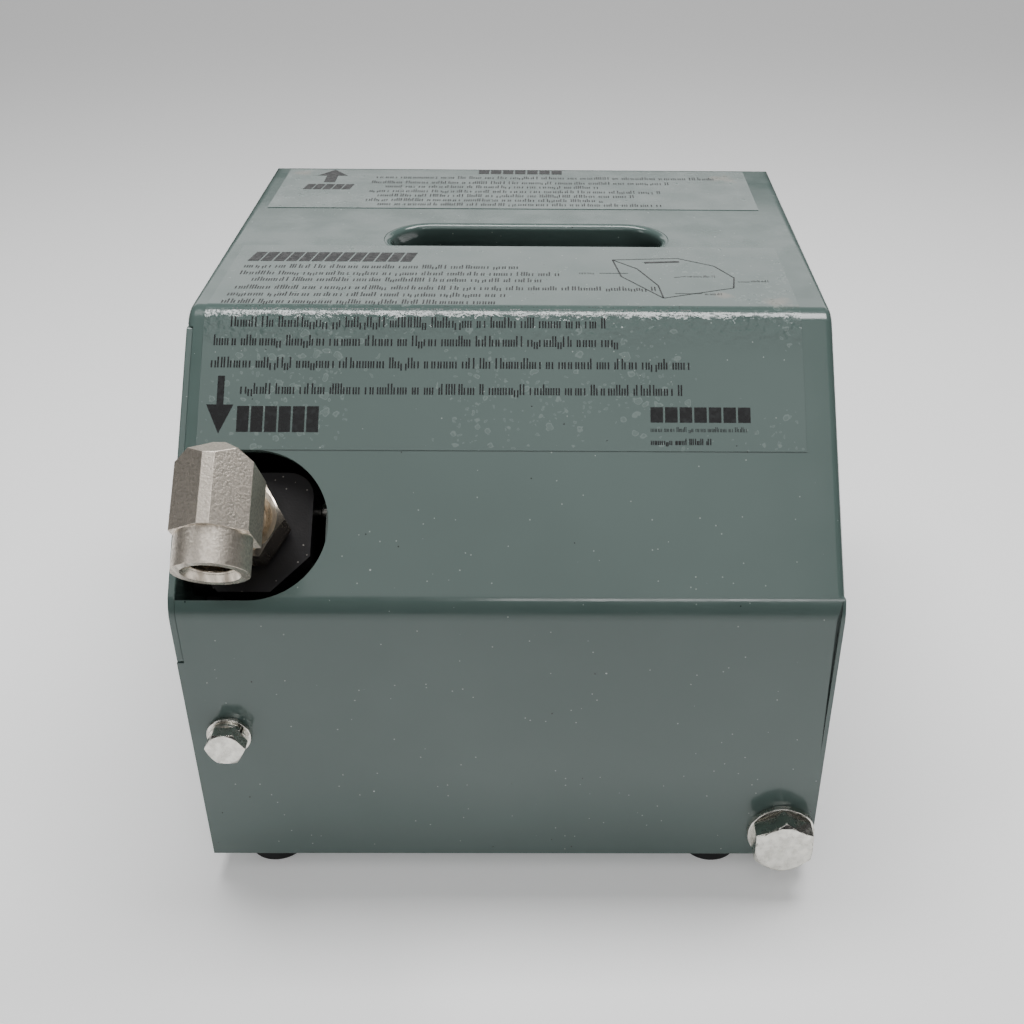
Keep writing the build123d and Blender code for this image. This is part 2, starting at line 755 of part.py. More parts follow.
def casing():
    """Both halves in one, hollow, with bosses, slot and bores."""
    with BuildPart() as whole:
        with BuildSketch(gun_section(face_depth)):
            barrel_outline(gun_half, barrel_chamfer, barrel_round)
        extrude(amount=-(barrel_end - face_depth))
        with BuildSketch(side(gun_x - gun_half)):
            with BuildLine():
                Polyline(*grip_outline(0, grip_rear), close=True)
            make_face()
            fillet(vertices().sort_by_distance(grip_outline(0, grip_rear)[2])[0], heel_round)
            fillet(vertices().sort_by_distance(grip_outline(0, grip_rear)[5])[0], web_round)
        extrude(amount=2 * gun_half)
        hollow = gun_half - gun_wall
        with BuildSketch(gun_section(face_depth + gun_wall)):
            barrel_outline(hollow, barrel_chamfer - gun_wall / 2, barrel_round - gun_wall)
        extrude(amount=-(grip_start - face_depth), mode=Mode.SUBTRACT)
        with BuildSketch(side(gun_x - hollow)):
            with BuildLine():
                Polyline(*grip_outline(gun_wall, grip_rear - gun_wall), close=True)
            make_face()
            corner = grip_outline(gun_wall, grip_rear - gun_wall)[2]
            fillet(vertices().sort_by_distance(corner)[0], heel_round - gun_wall)
        extrude(amount=2 * hollow, mode=Mode.SUBTRACT)
        with BuildSketch(side(gun_x - gun_half)):
            with Locations(*case_screws, *gun_fixings):
                Circle(boss_radius)
        extrude(amount=2 * gun_half)
        with BuildSketch(side(gun_x - gun_half)):
            with Locations(*case_screws, *gun_fixings):
                Circle(m4_shank)
        extrude(amount=2 * gun_half, mode=Mode.SUBTRACT)
        # Room for the valve's gland, then the trigger's slot in the side that faces the pedal.
        with BuildSketch(level(inlet_z + gun_wall)):
            with Locations((gun_x, valve_y)):
                Circle(body_radius + running_gap)
        extrude(amount=body_high - inlet_z, mode=Mode.SUBTRACT)
        with BuildSketch(side(gun_x - slot_half)):
            with BuildLine():
                Polyline(
                    (trigger_y - 9, trigger_z - 7),
                    (trigger_y - 9, trigger_z + 30),
                    (trigger_y + 60, trigger_z + 30),
                    (trigger_y + 60, inlet_z + 10.5),
                    (valve_y - 4, inlet_z + 10.5),
                    close=True,
                )
            make_face()
        extrude(amount=2 * slot_half, mode=Mode.SUBTRACT)
        with BuildSketch(side(gun_x - gun_half)):
            with Locations((trigger_y, trigger_z)):
                Circle(pin_radius)
        extrude(amount=2 * gun_half, mode=Mode.SUBTRACT)
        # Bores for the outlet tube, in front, and the inlet tube, at the rear.
        with BuildSketch(gun_section(face_depth - 1)):
            Circle(tube_hole)
        extrude(amount=-(gun_wall + 2), mode=Mode.SUBTRACT)
        with BuildSketch(upright(grip_rear + 1)):
            with Locations((gun_x, inlet_z)):
                Circle(tube_hole)
        extrude(amount=gun_wall + 2, mode=Mode.SUBTRACT)
    return whole.part


casing_whole = casing()
with BuildPart() as gun_shell_left:
    add(casing_whole)
    split(bisect_by=side(gun_x), keep=Keep.BOTTOM)
gun_shell_left.part.label = "gun_shell_left"
export_step(gun_shell_left.part, "parts/gun_shell_left.step")

with BuildPart() as gun_shell_right:
    add(casing_whole)
    split(bisect_by=side(gun_x), keep=Keep.TOP)
gun_shell_right.part.label = "gun_shell_right"
export_step(gun_shell_right.part, "parts/gun_shell_right.step")

with BuildPart() as gun_screws:
    with BuildSketch(side(gun_x + gun_half)):
        with Locations(*case_screws):
            Circle(2.9)
    extrude(amount=1.6)
    with BuildSketch(side(gun_x + gun_half)):
        with Locations(*case_screws):
            Circle(m4_shank)
    extrude(amount=-(2 * gun_half - 4))
gun_screws.part.label = "gun_screws"
export_step(gun_screws.part, "parts/gun_screws.step")

with BuildPart() as gun_fixing_screws:
    with BuildSketch(side(bracket_x + sheet)):
        with Locations(*gun_fixings):
            Circle(4)
    extrude(amount=2.4)
    with BuildSketch(side(bracket_x + sheet)):
        with Locations(*gun_fixings):
            Circle(m4_shank)
    extrude(amount=-(bracket_x + sheet - gun_x + gun_half - 4))
gun_fixing_screws.part.label = "gun_fixing_screws"
export_step(gun_fixing_screws.part, "parts/gun_fixing_screws.step")

with BuildPart() as gun_spacers:
    with BuildSketch(side(gun_x + gun_half)):
        with Locations(*gun_fixings):
            Circle(4)
            Circle(m4_shank, mode=Mode.SUBTRACT)
    extrude(amount=bracket_x - gun_x - gun_half)
gun_spacers.part.label = "gun_spacers"
export_step(gun_spacers.part, "parts/gun_spacers.step")

# ---- valve inside the gun ------------------------------------------------------------
body_low = 16.0
chamber_low = 18.5
chamber_high = 30.5
chamber_radius = 6.0
seat_high = 33.5
seat_bore = 3.6
ball_radius = 4.5
ball_z = 28.2
pin_stem = 2.5
pin_guide = 2.55
passage = 3.0
nose_radius = 7.5
nose_start = 100.0
nose_length = 21.0
passage_length = 21.5
cross_radius = 1.2
tube_outer = 6.0
tube_inner = 3.5
inlet_nose = 104.0
gland_thick = 5.0
cross_z = 35.2
with BuildPart() as valve_body:
    with BuildSketch(level(body_low)):
        with Locations((gun_x, valve_y)):
            Circle(body_radius)
    extrude(amount=body_high - body_low)
    with BuildSketch(gun_section(nose_start)):
        Circle(nose_radius)
    extrude(amount=-nose_length)
    with BuildSketch(upright(valve_y)):
        with Locations((gun_x, inlet_z)):
            Circle(nose_radius)
    extrude(amount=-(inlet_nose - valve_y))
    with BuildSketch(level(body_low - 2)):
        with Locations((gun_x, valve_y)):
            Circle(chamber_radius)
    extrude(amount=seat_high - body_low + 2, mode=Mode.SUBTRACT)
    with BuildSketch(level(seat_high)):
        with Locations((gun_x, valve_y)):
            Circle(seat_bore)
    extrude(amount=body_high - gland_thick - seat_high, mode=Mode.SUBTRACT)
    with BuildSketch(level(body_high - gland_thick)):
        with Locations((gun_x, valve_y)):
            Circle(chamber_radius)
    extrude(amount=gland_thick, mode=Mode.SUBTRACT)
    with BuildSketch(gun_section(nose_start)):
        Circle(tube_outer)
    extrude(amount=-6, mode=Mode.SUBTRACT)
    with BuildSketch(gun_section(nose_start)):
        Circle(passage)
    extrude(amount=-passage_length, mode=Mode.SUBTRACT)
    with BuildSketch(upright(valve_y - 8.5)):
        with Locations((gun_x, cross_z)):
            Circle(cross_radius)
    extrude(amount=-8.5, mode=Mode.SUBTRACT)
    with BuildSketch(upright(valve_y)):
        with Locations((gun_x, inlet_z)):
            Circle(tube_inner)
    extrude(amount=-(inlet_nose - valve_y), mode=Mode.SUBTRACT)
    with BuildSketch(upright(inlet_nose - 8)):
        with Locations((gun_x, inlet_z)):
            Circle(tube_outer)
    extrude(amount=-8, mode=Mode.SUBTRACT)
valve_body.part.label = "valve_body"
export_step(valve_body.part, "parts/valve_body.step")

with BuildPart() as valve_plug:
    with BuildSketch(level(body_low)):
        with Locations((gun_x, valve_y)):
            Circle(chamber_radius)
    extrude(amount=chamber_low - body_low)
valve_plug.part.label = "valve_plug"
export_step(valve_plug.part, "parts/valve_plug.step")

with BuildPart() as valve_seat:
    with BuildSketch(level(chamber_high)):
        with Locations((gun_x, valve_y)):
            Circle(chamber_radius)
            Circle(seat_bore, mode=Mode.SUBTRACT)
    extrude(amount=seat_high - chamber_high)
    with Locations(spot(gun_x, valve_y, ball_z)):
        Sphere(ball_radius + 0.02, mode=Mode.SUBTRACT)
valve_seat.part.label = "valve_seat"
export_step(valve_seat.part, "parts/valve_seat.step")

with BuildPart() as valve_ball:
    with Locations(spot(gun_x, valve_y, ball_z)):
        Sphere(ball_radius)
valve_ball.part.label = "valve_ball"
export_step(valve_ball.part, "parts/valve_ball.step")

with BuildPart() as valve_spring:
    with BuildLine(Plane(origin=spot(gun_x, valve_y, chamber_low + 0.5))) as coil_line:
        Helix(1.5, ball_z - ball_radius - chamber_low - 1.0, 2.6)
    with BuildSketch(Plane(origin=coil_line.line @ 0, z_dir=coil_line.line % 0)):
        Circle(0.4)
    sweep(is_frenet=True)
valve_spring.part.label = "valve_spring"
export_step(valve_spring.part, "parts/valve_spring.step")

pin_top = trigger_z + (valve_y - trigger_y) * tan(radians(trigger_rise)) - (lever_half + 0.4) / rise_cos
with BuildPart() as push_pin:
    with BuildSketch(level(ball_z + ball_radius)):
        with Locations((gun_x, valve_y)):
            Circle(pin_stem)
    extrude(amount=pin_top - ball_z - ball_radius)
    fillet(push_pin.edges().sort_by(Axis.Z)[-1], 1.8)
push_pin.part.label = "push_pin"
export_step(push_pin.part, "parts/push_pin.step")

with BuildPart() as packing_seals:
    with BuildSketch(level(body_high - gland_thick)):
        with Locations((gun_x, valve_y)):
            Circle(chamber_radius)
            Circle(pin_guide, mode=Mode.SUBTRACT)
    extrude(amount=gland_thick - 2)
packing_seals.part.label = "packing_seals"
export_step(packing_seals.part, "parts/packing_seals.step")

with BuildPart() as packing_nut:
    with BuildSketch(level(body_high - 2)):
        with Locations((gun_x, valve_y)):
            Circle(chamber_radius)
    extrude(amount=2)
    with BuildSketch(level(body_high)):
        with Locations((gun_x, valve_y)):
            RegularPolygon(5.5, 6, major_radius=False)
    extrude(amount=3)
    with BuildSketch(level(body_high - 3)):
        with Locations((gun_x, valve_y)):
            Circle(pin_guide)
    extrude(amount=8, mode=Mode.SUBTRACT)
packing_nut.part.label = "packing_nut"
export_step(packing_nut.part, "parts/packing_nut.step")

# ---- trigger and its pin -----------------------------------------------------------------
lever_length = 92.0
lever_tip = 2.0
trigger_line = Plane(
    origin=spot(gun_x - trigger_half_width, trigger_y, trigger_z),
    x_dir=(0, rise_cos, sin(radians(trigger_rise))),
    z_dir=(1, 0, 0),
)
with BuildPart() as trigger:
    with BuildSketch(trigger_line):
        with BuildLine():
            Polyline(
                (0, -lever_half),
                (0, lever_half),
                (lever_length, lever_half),
                (lever_length, lever_half - lever_tip),
                (30, -lever_half),
                close=True,
            )
        make_face()
        Circle(lever_half)
        Circle(pin_radius + 0.05, mode=Mode.SUBTRACT)
    extrude(amount=2 * trigger_half_width)
trigger.part.label = "trigger"
export_step(trigger.part, "parts/trigger.step")

with BuildPart() as trigger_pin:
    with BuildSketch(side(gun_x - gun_half + 1)):
        with Locations((trigger_y, trigger_z)):
            Circle(pin_radius)
    extrude(amount=2 * gun_half - 2)
trigger_pin.part.label = "trigger_pin"
export_step(trigger_pin.part, "parts/trigger_pin.step")

# ---- pipework: outlet tube, nut, elbow, inlet tube and fitting ---------------------------
nut_face = 21.6
nut_back = 31.6
nut_flats = 20.5
leg_radius = 6.7
leg_end = 27.4
with BuildPart() as outlet_tube:
    with BuildSketch(gun_section(leg_end)):
        Circle(tube_outer)
        Circle(tube_inner, mode=Mode.SUBTRACT)
    extrude(amount=-(nose_start + 6 - leg_end))
outlet_tube.part.label = "outlet_tube"
export_step(outlet_tube.part, "parts/outlet_tube.step")

with BuildPart() as outlet_nut:
    with BuildSketch(gun_section(nut_face)):
        RegularPolygon(nut_flats / 2, 6, major_radius=False)
    extrude(amount=-(nut_back - nut_face))
    with BuildSketch(gun_section(nut_face)):
        Circle(corner_land * nut_flats / 2)
    extrude(amount=-(nut_back - nut_face), taper=corner_cone, mode=Mode.INTERSECT)
    with BuildSketch(gun_section(nut_face)):
        Circle(leg_radius)
    extrude(amount=-(leg_end - nut_face), mode=Mode.SUBTRACT)
    with BuildSketch(gun_section(nut_face)):
        Circle(tube_outer)
    extrude(amount=-(nut_back - nut_face), mode=Mode.SUBTRACT)
    with BuildSketch(gun_section(nut_face)):
        Circle(8.8)
    extrude(amount=-2.0, taper=46, mode=Mode.SUBTRACT)
outlet_nut.part.label = "outlet_nut"
export_step(outlet_nut.part, "parts/outlet_nut.step")

elbow_half = 9.7
elbow_tail = 11.5
elbow_shoulder = 12.5
collar_radius = 9.5
collar_end = 21.8
port_radius = 5.7
port_depth = 14.0
port_chamfer = 7.2
ridge_half = 1.5
ridge_high = 10.8
flank_high = 5.2
belly_low = -8.6
tail_drop = 6.4
tail_slope = tail_drop / (elbow_half - ridge_half)
with BuildPart() as elbow_fitting:
    with BuildSketch(mouth_section(-elbow_tail)):
        with BuildLine():
            Polyline(
                (-elbow_half, belly_low),
                (elbow_half, belly_low),
                (elbow_half, flank_high),
                (ridge_half, ridge_high),
                (-ridge_half, ridge_high),
                (-elbow_half, flank_high),
                close=True,
            )
        make_face()
    extrude(amount=elbow_tail + elbow_shoulder)
    # The tail of the forging slopes away.
    with BuildSketch(Plane.YZ.offset(gun_x - 2 * elbow_half)):
        with BuildLine():
            start = mouth_section(-elbow_tail - 1).origin
            up = Vector(0, -tilt_cos, tilt_sin)
            along = Vector(0, -tilt_sin, -tilt_cos)
            a = start + up * (ridge_high + 1)
            b = start + along * 7.5 + up * (ridge_high + 1)
            c = start + up * 1.0
            Polyline((a.Y, a.Z), (b.Y, b.Z), (c.Y, c.Z), close=True)
        make_face()
    extrude(amount=4 * elbow_half, mode=Mode.SUBTRACT)
    # Its two corners are cut off, so the tail comes to a blunt point.
    flat = Plane(mouth_section(0).origin, x_dir=(1, 0, 0), z_dir=(0, -tilt_cos, tilt_sin))
    with BuildSketch(flat):
        for way in (-1, 1):
            with BuildLine():
                Polyline(
                    (way * (elbow_half + 1), elbow_tail + 1),
                    (way * (ridge_half - 1 / tail_slope), elbow_tail + 1),
                    (way * (elbow_half + 1), elbow_tail - tail_drop - tail_slope),
                    close=True,
                )
            make_face()
    extrude(amount=2 * elbow_half, both=True, mode=Mode.SUBTRACT)
    with BuildSketch(mouth_section(elbow_shoulder)):
        Circle(collar_radius)
    extrude(amount=collar_end - elbow_shoulder)
    with BuildSketch(gun_section(0)):
        Circle(leg_radius)
    extrude(amount=-leg_end)
    with BuildSketch(mouth_section(collar_end)):
        Circle(port_radius)
    extrude(amount=-port_depth, mode=Mode.SUBTRACT)
    with BuildSketch(mouth_section(collar_end)):
        Circle(port_chamfer)
    extrude(amount=-(port_chamfer - port_radius), taper=45, mode=Mode.SUBTRACT)
    with BuildSketch(mouth_section(collar_end - port_depth + 1)):
        Circle(tube_inner)
    extrude(amount=-(collar_end - port_depth + 1), mode=Mode.SUBTRACT)
    with BuildSketch(gun_section(0)):
        Circle(tube_inner)
    extrude(amount=-leg_end, mode=Mode.SUBTRACT)
elbow_fitting.part.label = "elbow_fitting"
export_step(elbow_fitting.part, "parts/elbow_fitting.step")

inlet_hex = 24.0
inlet_bore = 7.6
inlet_depth = 15.0
hex_start = grip_rear + 1
with BuildPart() as inlet_tube:
    with BuildSketch(upright(inlet_nose - 8)):
        with Locations((gun_x, inlet_z)):
            Circle(tube_outer)
            Circle(tube_inner, mode=Mode.SUBTRACT)
    extrude(amount=-(hex_start + 5 - inlet_nose + 8))
inlet_tube.part.label = "inlet_tube"
export_step(inlet_tube.part, "parts/inlet_tube.step")

with BuildPart() as inlet_fitting:
    with BuildSketch(upright(hex_start)):
        with Locations((gun_x, inlet_z)):
            RegularPolygon(inlet_hex / 2, 6, major_radius=False)
    extrude(amount=-(box_depth + inlet_reach - hex_start))
    with BuildSketch(upright(box_depth + inlet_reach)):
        with Locations((gun_x, inlet_z)):
            Circle(inlet_bore)
    extrude(amount=inlet_depth, mode=Mode.SUBTRACT)
    with BuildSketch(upright(hex_start)):
        with Locations((gun_x, inlet_z)):
            Circle(tube_outer)
    extrude(amount=-5, mode=Mode.SUBTRACT)
    with BuildSketch(upright(hex_start)):
        with Locations((gun_x, inlet_z)):
            Circle(tube_inner)
    extrude(amount=-(inlet_depth + 5), mode=Mode.SUBTRACT)
inlet_fitting.part.label = "inlet_fitting"
export_step(inlet_fitting.part, "parts/inlet_fitting.step")

print("dome height", round(dome_z, 2), "pedal slope", round(pedal_slope, 2))
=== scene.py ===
# %% [markdown]
# # A foot valve
# A sheet-steel box holds a trigger gun on its side. A shoe goes in at the right and presses a
# pedal, and the pedal presses the gun's trigger. The CAD model is the frame: every place below
# is worked out from its boxes, so a piece that is made here sits where the real one is bolted.

# %% Load the frame
import json
import random
from math import cos, pi, radians, sin, sqrt, tan

import bmesh
import bpy
from mathutils import Matrix, Vector


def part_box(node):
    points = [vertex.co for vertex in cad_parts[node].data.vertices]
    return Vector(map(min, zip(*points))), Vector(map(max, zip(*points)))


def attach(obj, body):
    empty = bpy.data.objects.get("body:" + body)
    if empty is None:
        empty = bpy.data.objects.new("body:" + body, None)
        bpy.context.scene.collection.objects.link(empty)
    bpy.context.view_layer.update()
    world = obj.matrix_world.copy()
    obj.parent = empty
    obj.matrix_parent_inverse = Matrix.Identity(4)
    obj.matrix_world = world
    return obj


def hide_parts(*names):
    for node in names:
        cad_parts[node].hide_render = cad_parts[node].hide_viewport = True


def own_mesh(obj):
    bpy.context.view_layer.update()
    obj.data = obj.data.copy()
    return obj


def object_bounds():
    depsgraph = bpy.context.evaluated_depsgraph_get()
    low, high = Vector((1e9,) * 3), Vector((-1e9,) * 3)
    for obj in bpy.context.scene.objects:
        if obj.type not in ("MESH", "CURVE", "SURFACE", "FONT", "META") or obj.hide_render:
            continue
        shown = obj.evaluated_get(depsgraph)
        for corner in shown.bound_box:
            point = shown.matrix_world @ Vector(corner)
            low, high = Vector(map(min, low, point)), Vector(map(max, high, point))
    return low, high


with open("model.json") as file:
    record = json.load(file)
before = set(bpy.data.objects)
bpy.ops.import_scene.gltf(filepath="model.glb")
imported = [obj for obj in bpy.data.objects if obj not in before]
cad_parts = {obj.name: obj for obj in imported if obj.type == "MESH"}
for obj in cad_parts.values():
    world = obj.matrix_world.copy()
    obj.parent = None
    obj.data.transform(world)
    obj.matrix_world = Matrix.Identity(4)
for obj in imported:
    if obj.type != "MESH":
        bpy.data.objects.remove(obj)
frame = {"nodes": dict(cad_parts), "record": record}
cad_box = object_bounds()
MM = 0.001
node_body = {n: b for b, ns in frame["record"]["behaviour"]["bodies"].items() for n in ns}
node_slot = {s["node"]: s["material_slot"] for s in frame["record"]["subparts"]}
print("nodes", len(frame["nodes"]), "box", [tuple(round(v, 4) for v in c) for c in cad_box])

# %% [markdown]
# ## Camera
# A normal lens stands in front, a little above the box, and looks down by a third of a right
# angle. A small lens shift centres the box, which keeps the camera itself where it is.

# %% Camera
camera_data = bpy.data.cameras.new("camera")
camera_data.lens = 44.74
camera_data.shift_x = -0.0563
camera_data.shift_y = 0.0379
camera = bpy.data.objects.new("camera", camera_data)
camera.location = (0.01284, -0.36874, 0.29214)
camera.rotation_euler = (radians(57.48), radians(-0.494), radians(-0.401))
bpy.context.scene.collection.objects.link(camera)
bpy.context.scene.camera = camera

# %% [markdown]
# ## Places
# The housing is measured from the lower edge of its front panel, half-way across. Millimetres
# are easier to think in, so one helper turns such a place into the frame's metres.

# %% Sizes of the housing
left_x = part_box("side_plate")[0].x / MM
right_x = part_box("mouth_wall")[1].x / MM
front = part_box("housing_shell")[0]
back_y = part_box("rear_panel")[1].y
DEPTH = (back_y - front.y) / MM
HEIGHT = (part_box("housing_shell")[1].z - front.z) / MM
FRONT_HEIGHT = 90.0
SLOPE_RUN = HEIGHT - FRONT_HEIGHT
SHEET = 2.0
FRONT_BEND, TOP_BEND, REAR_BEND = 10.0, 8.0, 4.0


def spot(x, y, z):
    """A place in the frame, from millimetres right of, behind and above the front edge."""
    return Vector((x * MM, front.y + y * MM, front.z + z * MM))


def facing(origin, across, up):
    """A placement: local X runs across, local Y runs up, local Z stands out towards the viewer."""
    x, y = Vector(across).normalized(), Vector(up).normalized()
    return Matrix.Translation(origin) @ Matrix((x, y, x.cross(y))).transposed().to_4x4()


def side_view(x):
    """Local X runs back, local Y up, and local Z points to the right-hand side."""
    return facing(spot(x, 0, 0), (0, 1, 0), (0, 0, 1))


UP_SLOPE = Vector((0, 1, 1)).normalized()
slope_view = facing(spot(0, 0, FRONT_HEIGHT), (1, 0, 0), UP_SLOPE)
top_view = facing(spot(0, 0, HEIGHT), (1, 0, 0), (0, 1, 0))
print("housing", round(right_x - left_x, 1), "x", round(DEPTH, 1), "x", round(HEIGHT, 1), "mm")

# %% [markdown]
# ## Mesh helpers
# Sheet-metal work is outlines pushed through a thickness, so `prism` is the workhorse: a face of
# a few corners, some of them rounded by a vertex bevel, then extruded. Holes are cut with the
# Boolean modifier, because a press punches them in just that way: one shape through another.

# %% Helpers for meshes
def outline_face(bm, outline, placement, rounds=None, steps=8):
    """A flat face from a few corners; rounds maps a corner's number to its radius."""
    corners = [bm.verts.new(placement @ Vector((x * MM, y * MM, 0))) for x, y in outline]
    bm.faces.new(corners)
    for number, radius in (rounds or {}).items():
        corner = corners[number]
        a, b = [(e.other_vert(corner).co - corner.co) for e in corner.link_edges]
        setback = radius * MM / tan(a.angle(b) / 2)
        bmesh.ops.bevel(bm, geom=[corner], offset=setback, offset_type="OFFSET", segments=steps,
                        profile=0.5, affect="VERTICES", material=-1)


def thicken(bm, placement, depth):
    """Pushes every face of bm along the placement's Z, and closes the solid."""
    grown = bmesh.ops.extrude_face_region(bm, geom=bm.faces[:])["geom"]
    push = placement.to_3x3() @ Vector((0, 0, depth * MM))
    bmesh.ops.translate(bm, verts=[v for v in grown if isinstance(v, bmesh.types.BMVert)], vec=push)
    bmesh.ops.recalc_face_normals(bm, faces=bm.faces)
    return bm


def prism(outline, placement, depth, rounds=None, steps=8):
    """A closed solid with the outline's shape."""
    bm = bmesh.new()
    outline_face(bm, outline, placement, rounds, steps)
    return thicken(bm, placement, depth)


def stadium_face(bm, cx, cy, length, width, placement, steps):
    """A flat slot shape with round ends."""
    l, w = length / 2, width / 2
    outline = [(cx - l, cy - w), (cx + l, cy - w), (cx + l, cy + w), (cx - l, cy + w)]
    outline_face(bm, outline, placement, {i: w - 0.01 for i in range(4)}, steps)


def stadium(cx, cy, length, width, placement, depth, steps):
    """A punch with round ends."""
    bm = bmesh.new()
    stadium_face(bm, cx, cy, length, width, placement, steps)
    return thicken(bm, placement, depth)


def disc(cx, cy, radius, placement, depth):
    """A round punch."""
    bm = bmesh.new()
    centre = placement @ Matrix.Translation((cx * MM, cy * MM, 0))
    bmesh.ops.create_circle(bm, cap_ends=True, segments=48, radius=radius * MM, matrix=centre)
    return thicken(bm, placement, depth)


def as_object(bm, name):
    """Turns a bmesh into a linked object at the origin."""
    mesh = bpy.data.meshes.new(name)
    bm.to_mesh(mesh)
    bm.free()
    made = bpy.data.objects.new(name, mesh)
    bpy.context.scene.collection.objects.link(made)
    return made


def evaluated_bmesh(made):
    """The object's mesh with its modifiers applied, as a new bmesh; the object is removed."""
    graph = bpy.context.evaluated_depsgraph_get()
    mesh = bpy.data.meshes.new_from_object(made.evaluated_get(graph))
    bm = bmesh.new()
    bm.from_mesh(mesh)
    bpy.data.meshes.remove(mesh)
    bpy.data.objects.remove(made)
    return bm


def carve(solid, cutters):
    """Cuts each solid in cutters out of the first one."""
    work = as_object(solid, "work")
    tools = [as_object(cutter, "tool") for cutter in cutters]
    for tool in tools:
        cut = work.modifiers.new("cut", "BOOLEAN")
        cut.operation, cut.solver, cut.object = "DIFFERENCE", "EXACT", tool
    result = evaluated_bmesh(work)
    for tool in tools:
        bpy.data.objects.remove(tool)
    return result


REAL_EDGE = 28


def crisp(bm, angle=REAL_EDGE):
    """Smooth shading that stops at edges that turn by more than angle, in degrees."""
    for face in bm.faces:
        face.smooth = True
    for edge in bm.edges:
        turn = edge.calc_face_angle(0) if len(edge.link_faces) == 2 else 0
        edge.smooth = turn < radians(angle)


def soften(made, width, angle=REAL_EDGE):
    """A fine bevel on real edges, so that they catch the light."""
    bevel = made.modifiers.new("edges", "BEVEL")
    bevel.width, bevel.segments = width * MM, 2
    bevel.limit_method, bevel.angle_limit = "ANGLE", radians(angle)
    bevel.harden_normals = True
    return made


def fit(made, material, body, slot, *nodes):
    """Gives a piece its finish and its body, and hides the CAD nodes that it stands for; slot is
    not used.
    """
    made.data.materials.clear()
    made.data.materials.append(material)
    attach(made, body)
    if nodes:
        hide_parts(*nodes)
    return made


# %% [markdown]
# ## Shared effects
# Dust specks, a rippled skin, brushed streaks and blasted grain turn up on several finishes.
# Each is a node group that puts out a mask or a height, and the material decides what to do
# with it. All read Object coordinates, because every object sits at the frame's origin.

# %% Node group helpers
def group(name, inputs, outputs):
    """A shader node group with float inputs (name: value) and float outputs."""
    tree = bpy.data.node_groups.new(name, "ShaderNodeTree")
    for label, value in inputs.items():
        made = tree.interface.new_socket(label, in_out="INPUT", socket_type="NodeSocketFloat")
        made.default_value = value
    for label in outputs:
        tree.interface.new_socket(label, in_out="OUTPUT", socket_type="NodeSocketFloat")
    return tree, tree.nodes.new("NodeGroupInput"), tree.nodes.new("NodeGroupOutput")


def node(tree, kind, settings=None, **sockets):
    """A node with its settings, and sockets set to values or linked to other sockets."""
    made = tree.nodes.new(kind)
    for key, value in (settings or {}).items():
        setattr(made, key, value)
    for key, value in sockets.items():
        numbered = key[0] == "i" and key[1:].isdigit()
        socket = made.inputs[int(key[1:]) if numbered else key.replace("_", " ")]
        if isinstance(value, bpy.types.NodeSocket):
            tree.links.new(value, socket)
        else:
            socket.default_value = value
    return made


def maths(tree, operation, a, b=0.0, c=0.0):
    """One sum; a, b and c are numbers or sockets."""
    return node(tree, "ShaderNodeMath", {"operation": operation}, i0=a, i1=b, i2=c).outputs[0]


def ramp(tree, value, low, high, to_low=0.0, to_high=1.0):
    """Maps low..high smoothly to to_low..to_high."""
    made = node(tree, "ShaderNodeMapRange", {"interpolation_type": "SMOOTHSTEP"}, Value=value)
    made.inputs["From Min"].default_value, made.inputs["From Max"].default_value = low, high
    made.inputs["To Min"].default_value, made.inputs["To Max"].default_value = to_low, to_high
    return made.outputs[0]


def coordinates(tree):
    """Places in the frame, in metres: every object stands at the origin, unturned."""
    return node(tree, "ShaderNodeTexCoord").outputs["Object"]


# %% Specks
speck_inputs = {"Scale": 400.0, "Size": 0.12, "Share": 0.1}
specks_group, given, result = group("specks", speck_inputs, ["Mask"])
cells = node(specks_group, "ShaderNodeTexVoronoi", Vector=coordinates(specks_group),
             Scale=given.outputs["Scale"])
near = maths(specks_group, "LESS_THAN", cells.outputs["Distance"], given.outputs["Size"])
chosen = node(specks_group, "ShaderNodeSeparateColor", Color=cells.outputs["Color"]).outputs[0]
picked = maths(specks_group, "LESS_THAN", chosen, given.outputs["Share"])
specks_group.links.new(maths(specks_group, "MULTIPLY", near, picked), result.inputs["Mask"])

# %% Ripple and mottling
ripple_group, given, result = group("ripple", {"Scale": 300.0, "Detail": 2.0}, ["Height"])
waves = node(ripple_group, "ShaderNodeTexNoise", Vector=coordinates(ripple_group),
             Scale=given.outputs["Scale"], Detail=given.outputs["Detail"])
ripple_group.links.new(waves.outputs[0], result.inputs["Height"])

# %% Streaks across a turned or rolled surface
streak_group, given, result = group("streaks", {"Scale": 60.0, "Stretch": 40.0}, ["Mask"])
spread = node(streak_group, "ShaderNodeSeparateXYZ", Vector=coordinates(streak_group))
along = maths(streak_group, "ADD", spread.outputs[1], spread.outputs[2])
wide = maths(streak_group, "MULTIPLY", along, given.outputs["Scale"])
pitch = maths(streak_group, "MULTIPLY", given.outputs["Scale"], given.outputs["Stretch"])
fine = maths(streak_group, "MULTIPLY", spread.outputs[0], pitch)
pattern = node(streak_group, "ShaderNodeCombineXYZ", X=fine, Y=wide)
lines = node(streak_group, "ShaderNodeTexNoise", Vector=pattern.outputs[0], Scale=1.0, Detail=3.0)
streak_group.links.new(lines.outputs[0], result.inputs["Mask"])

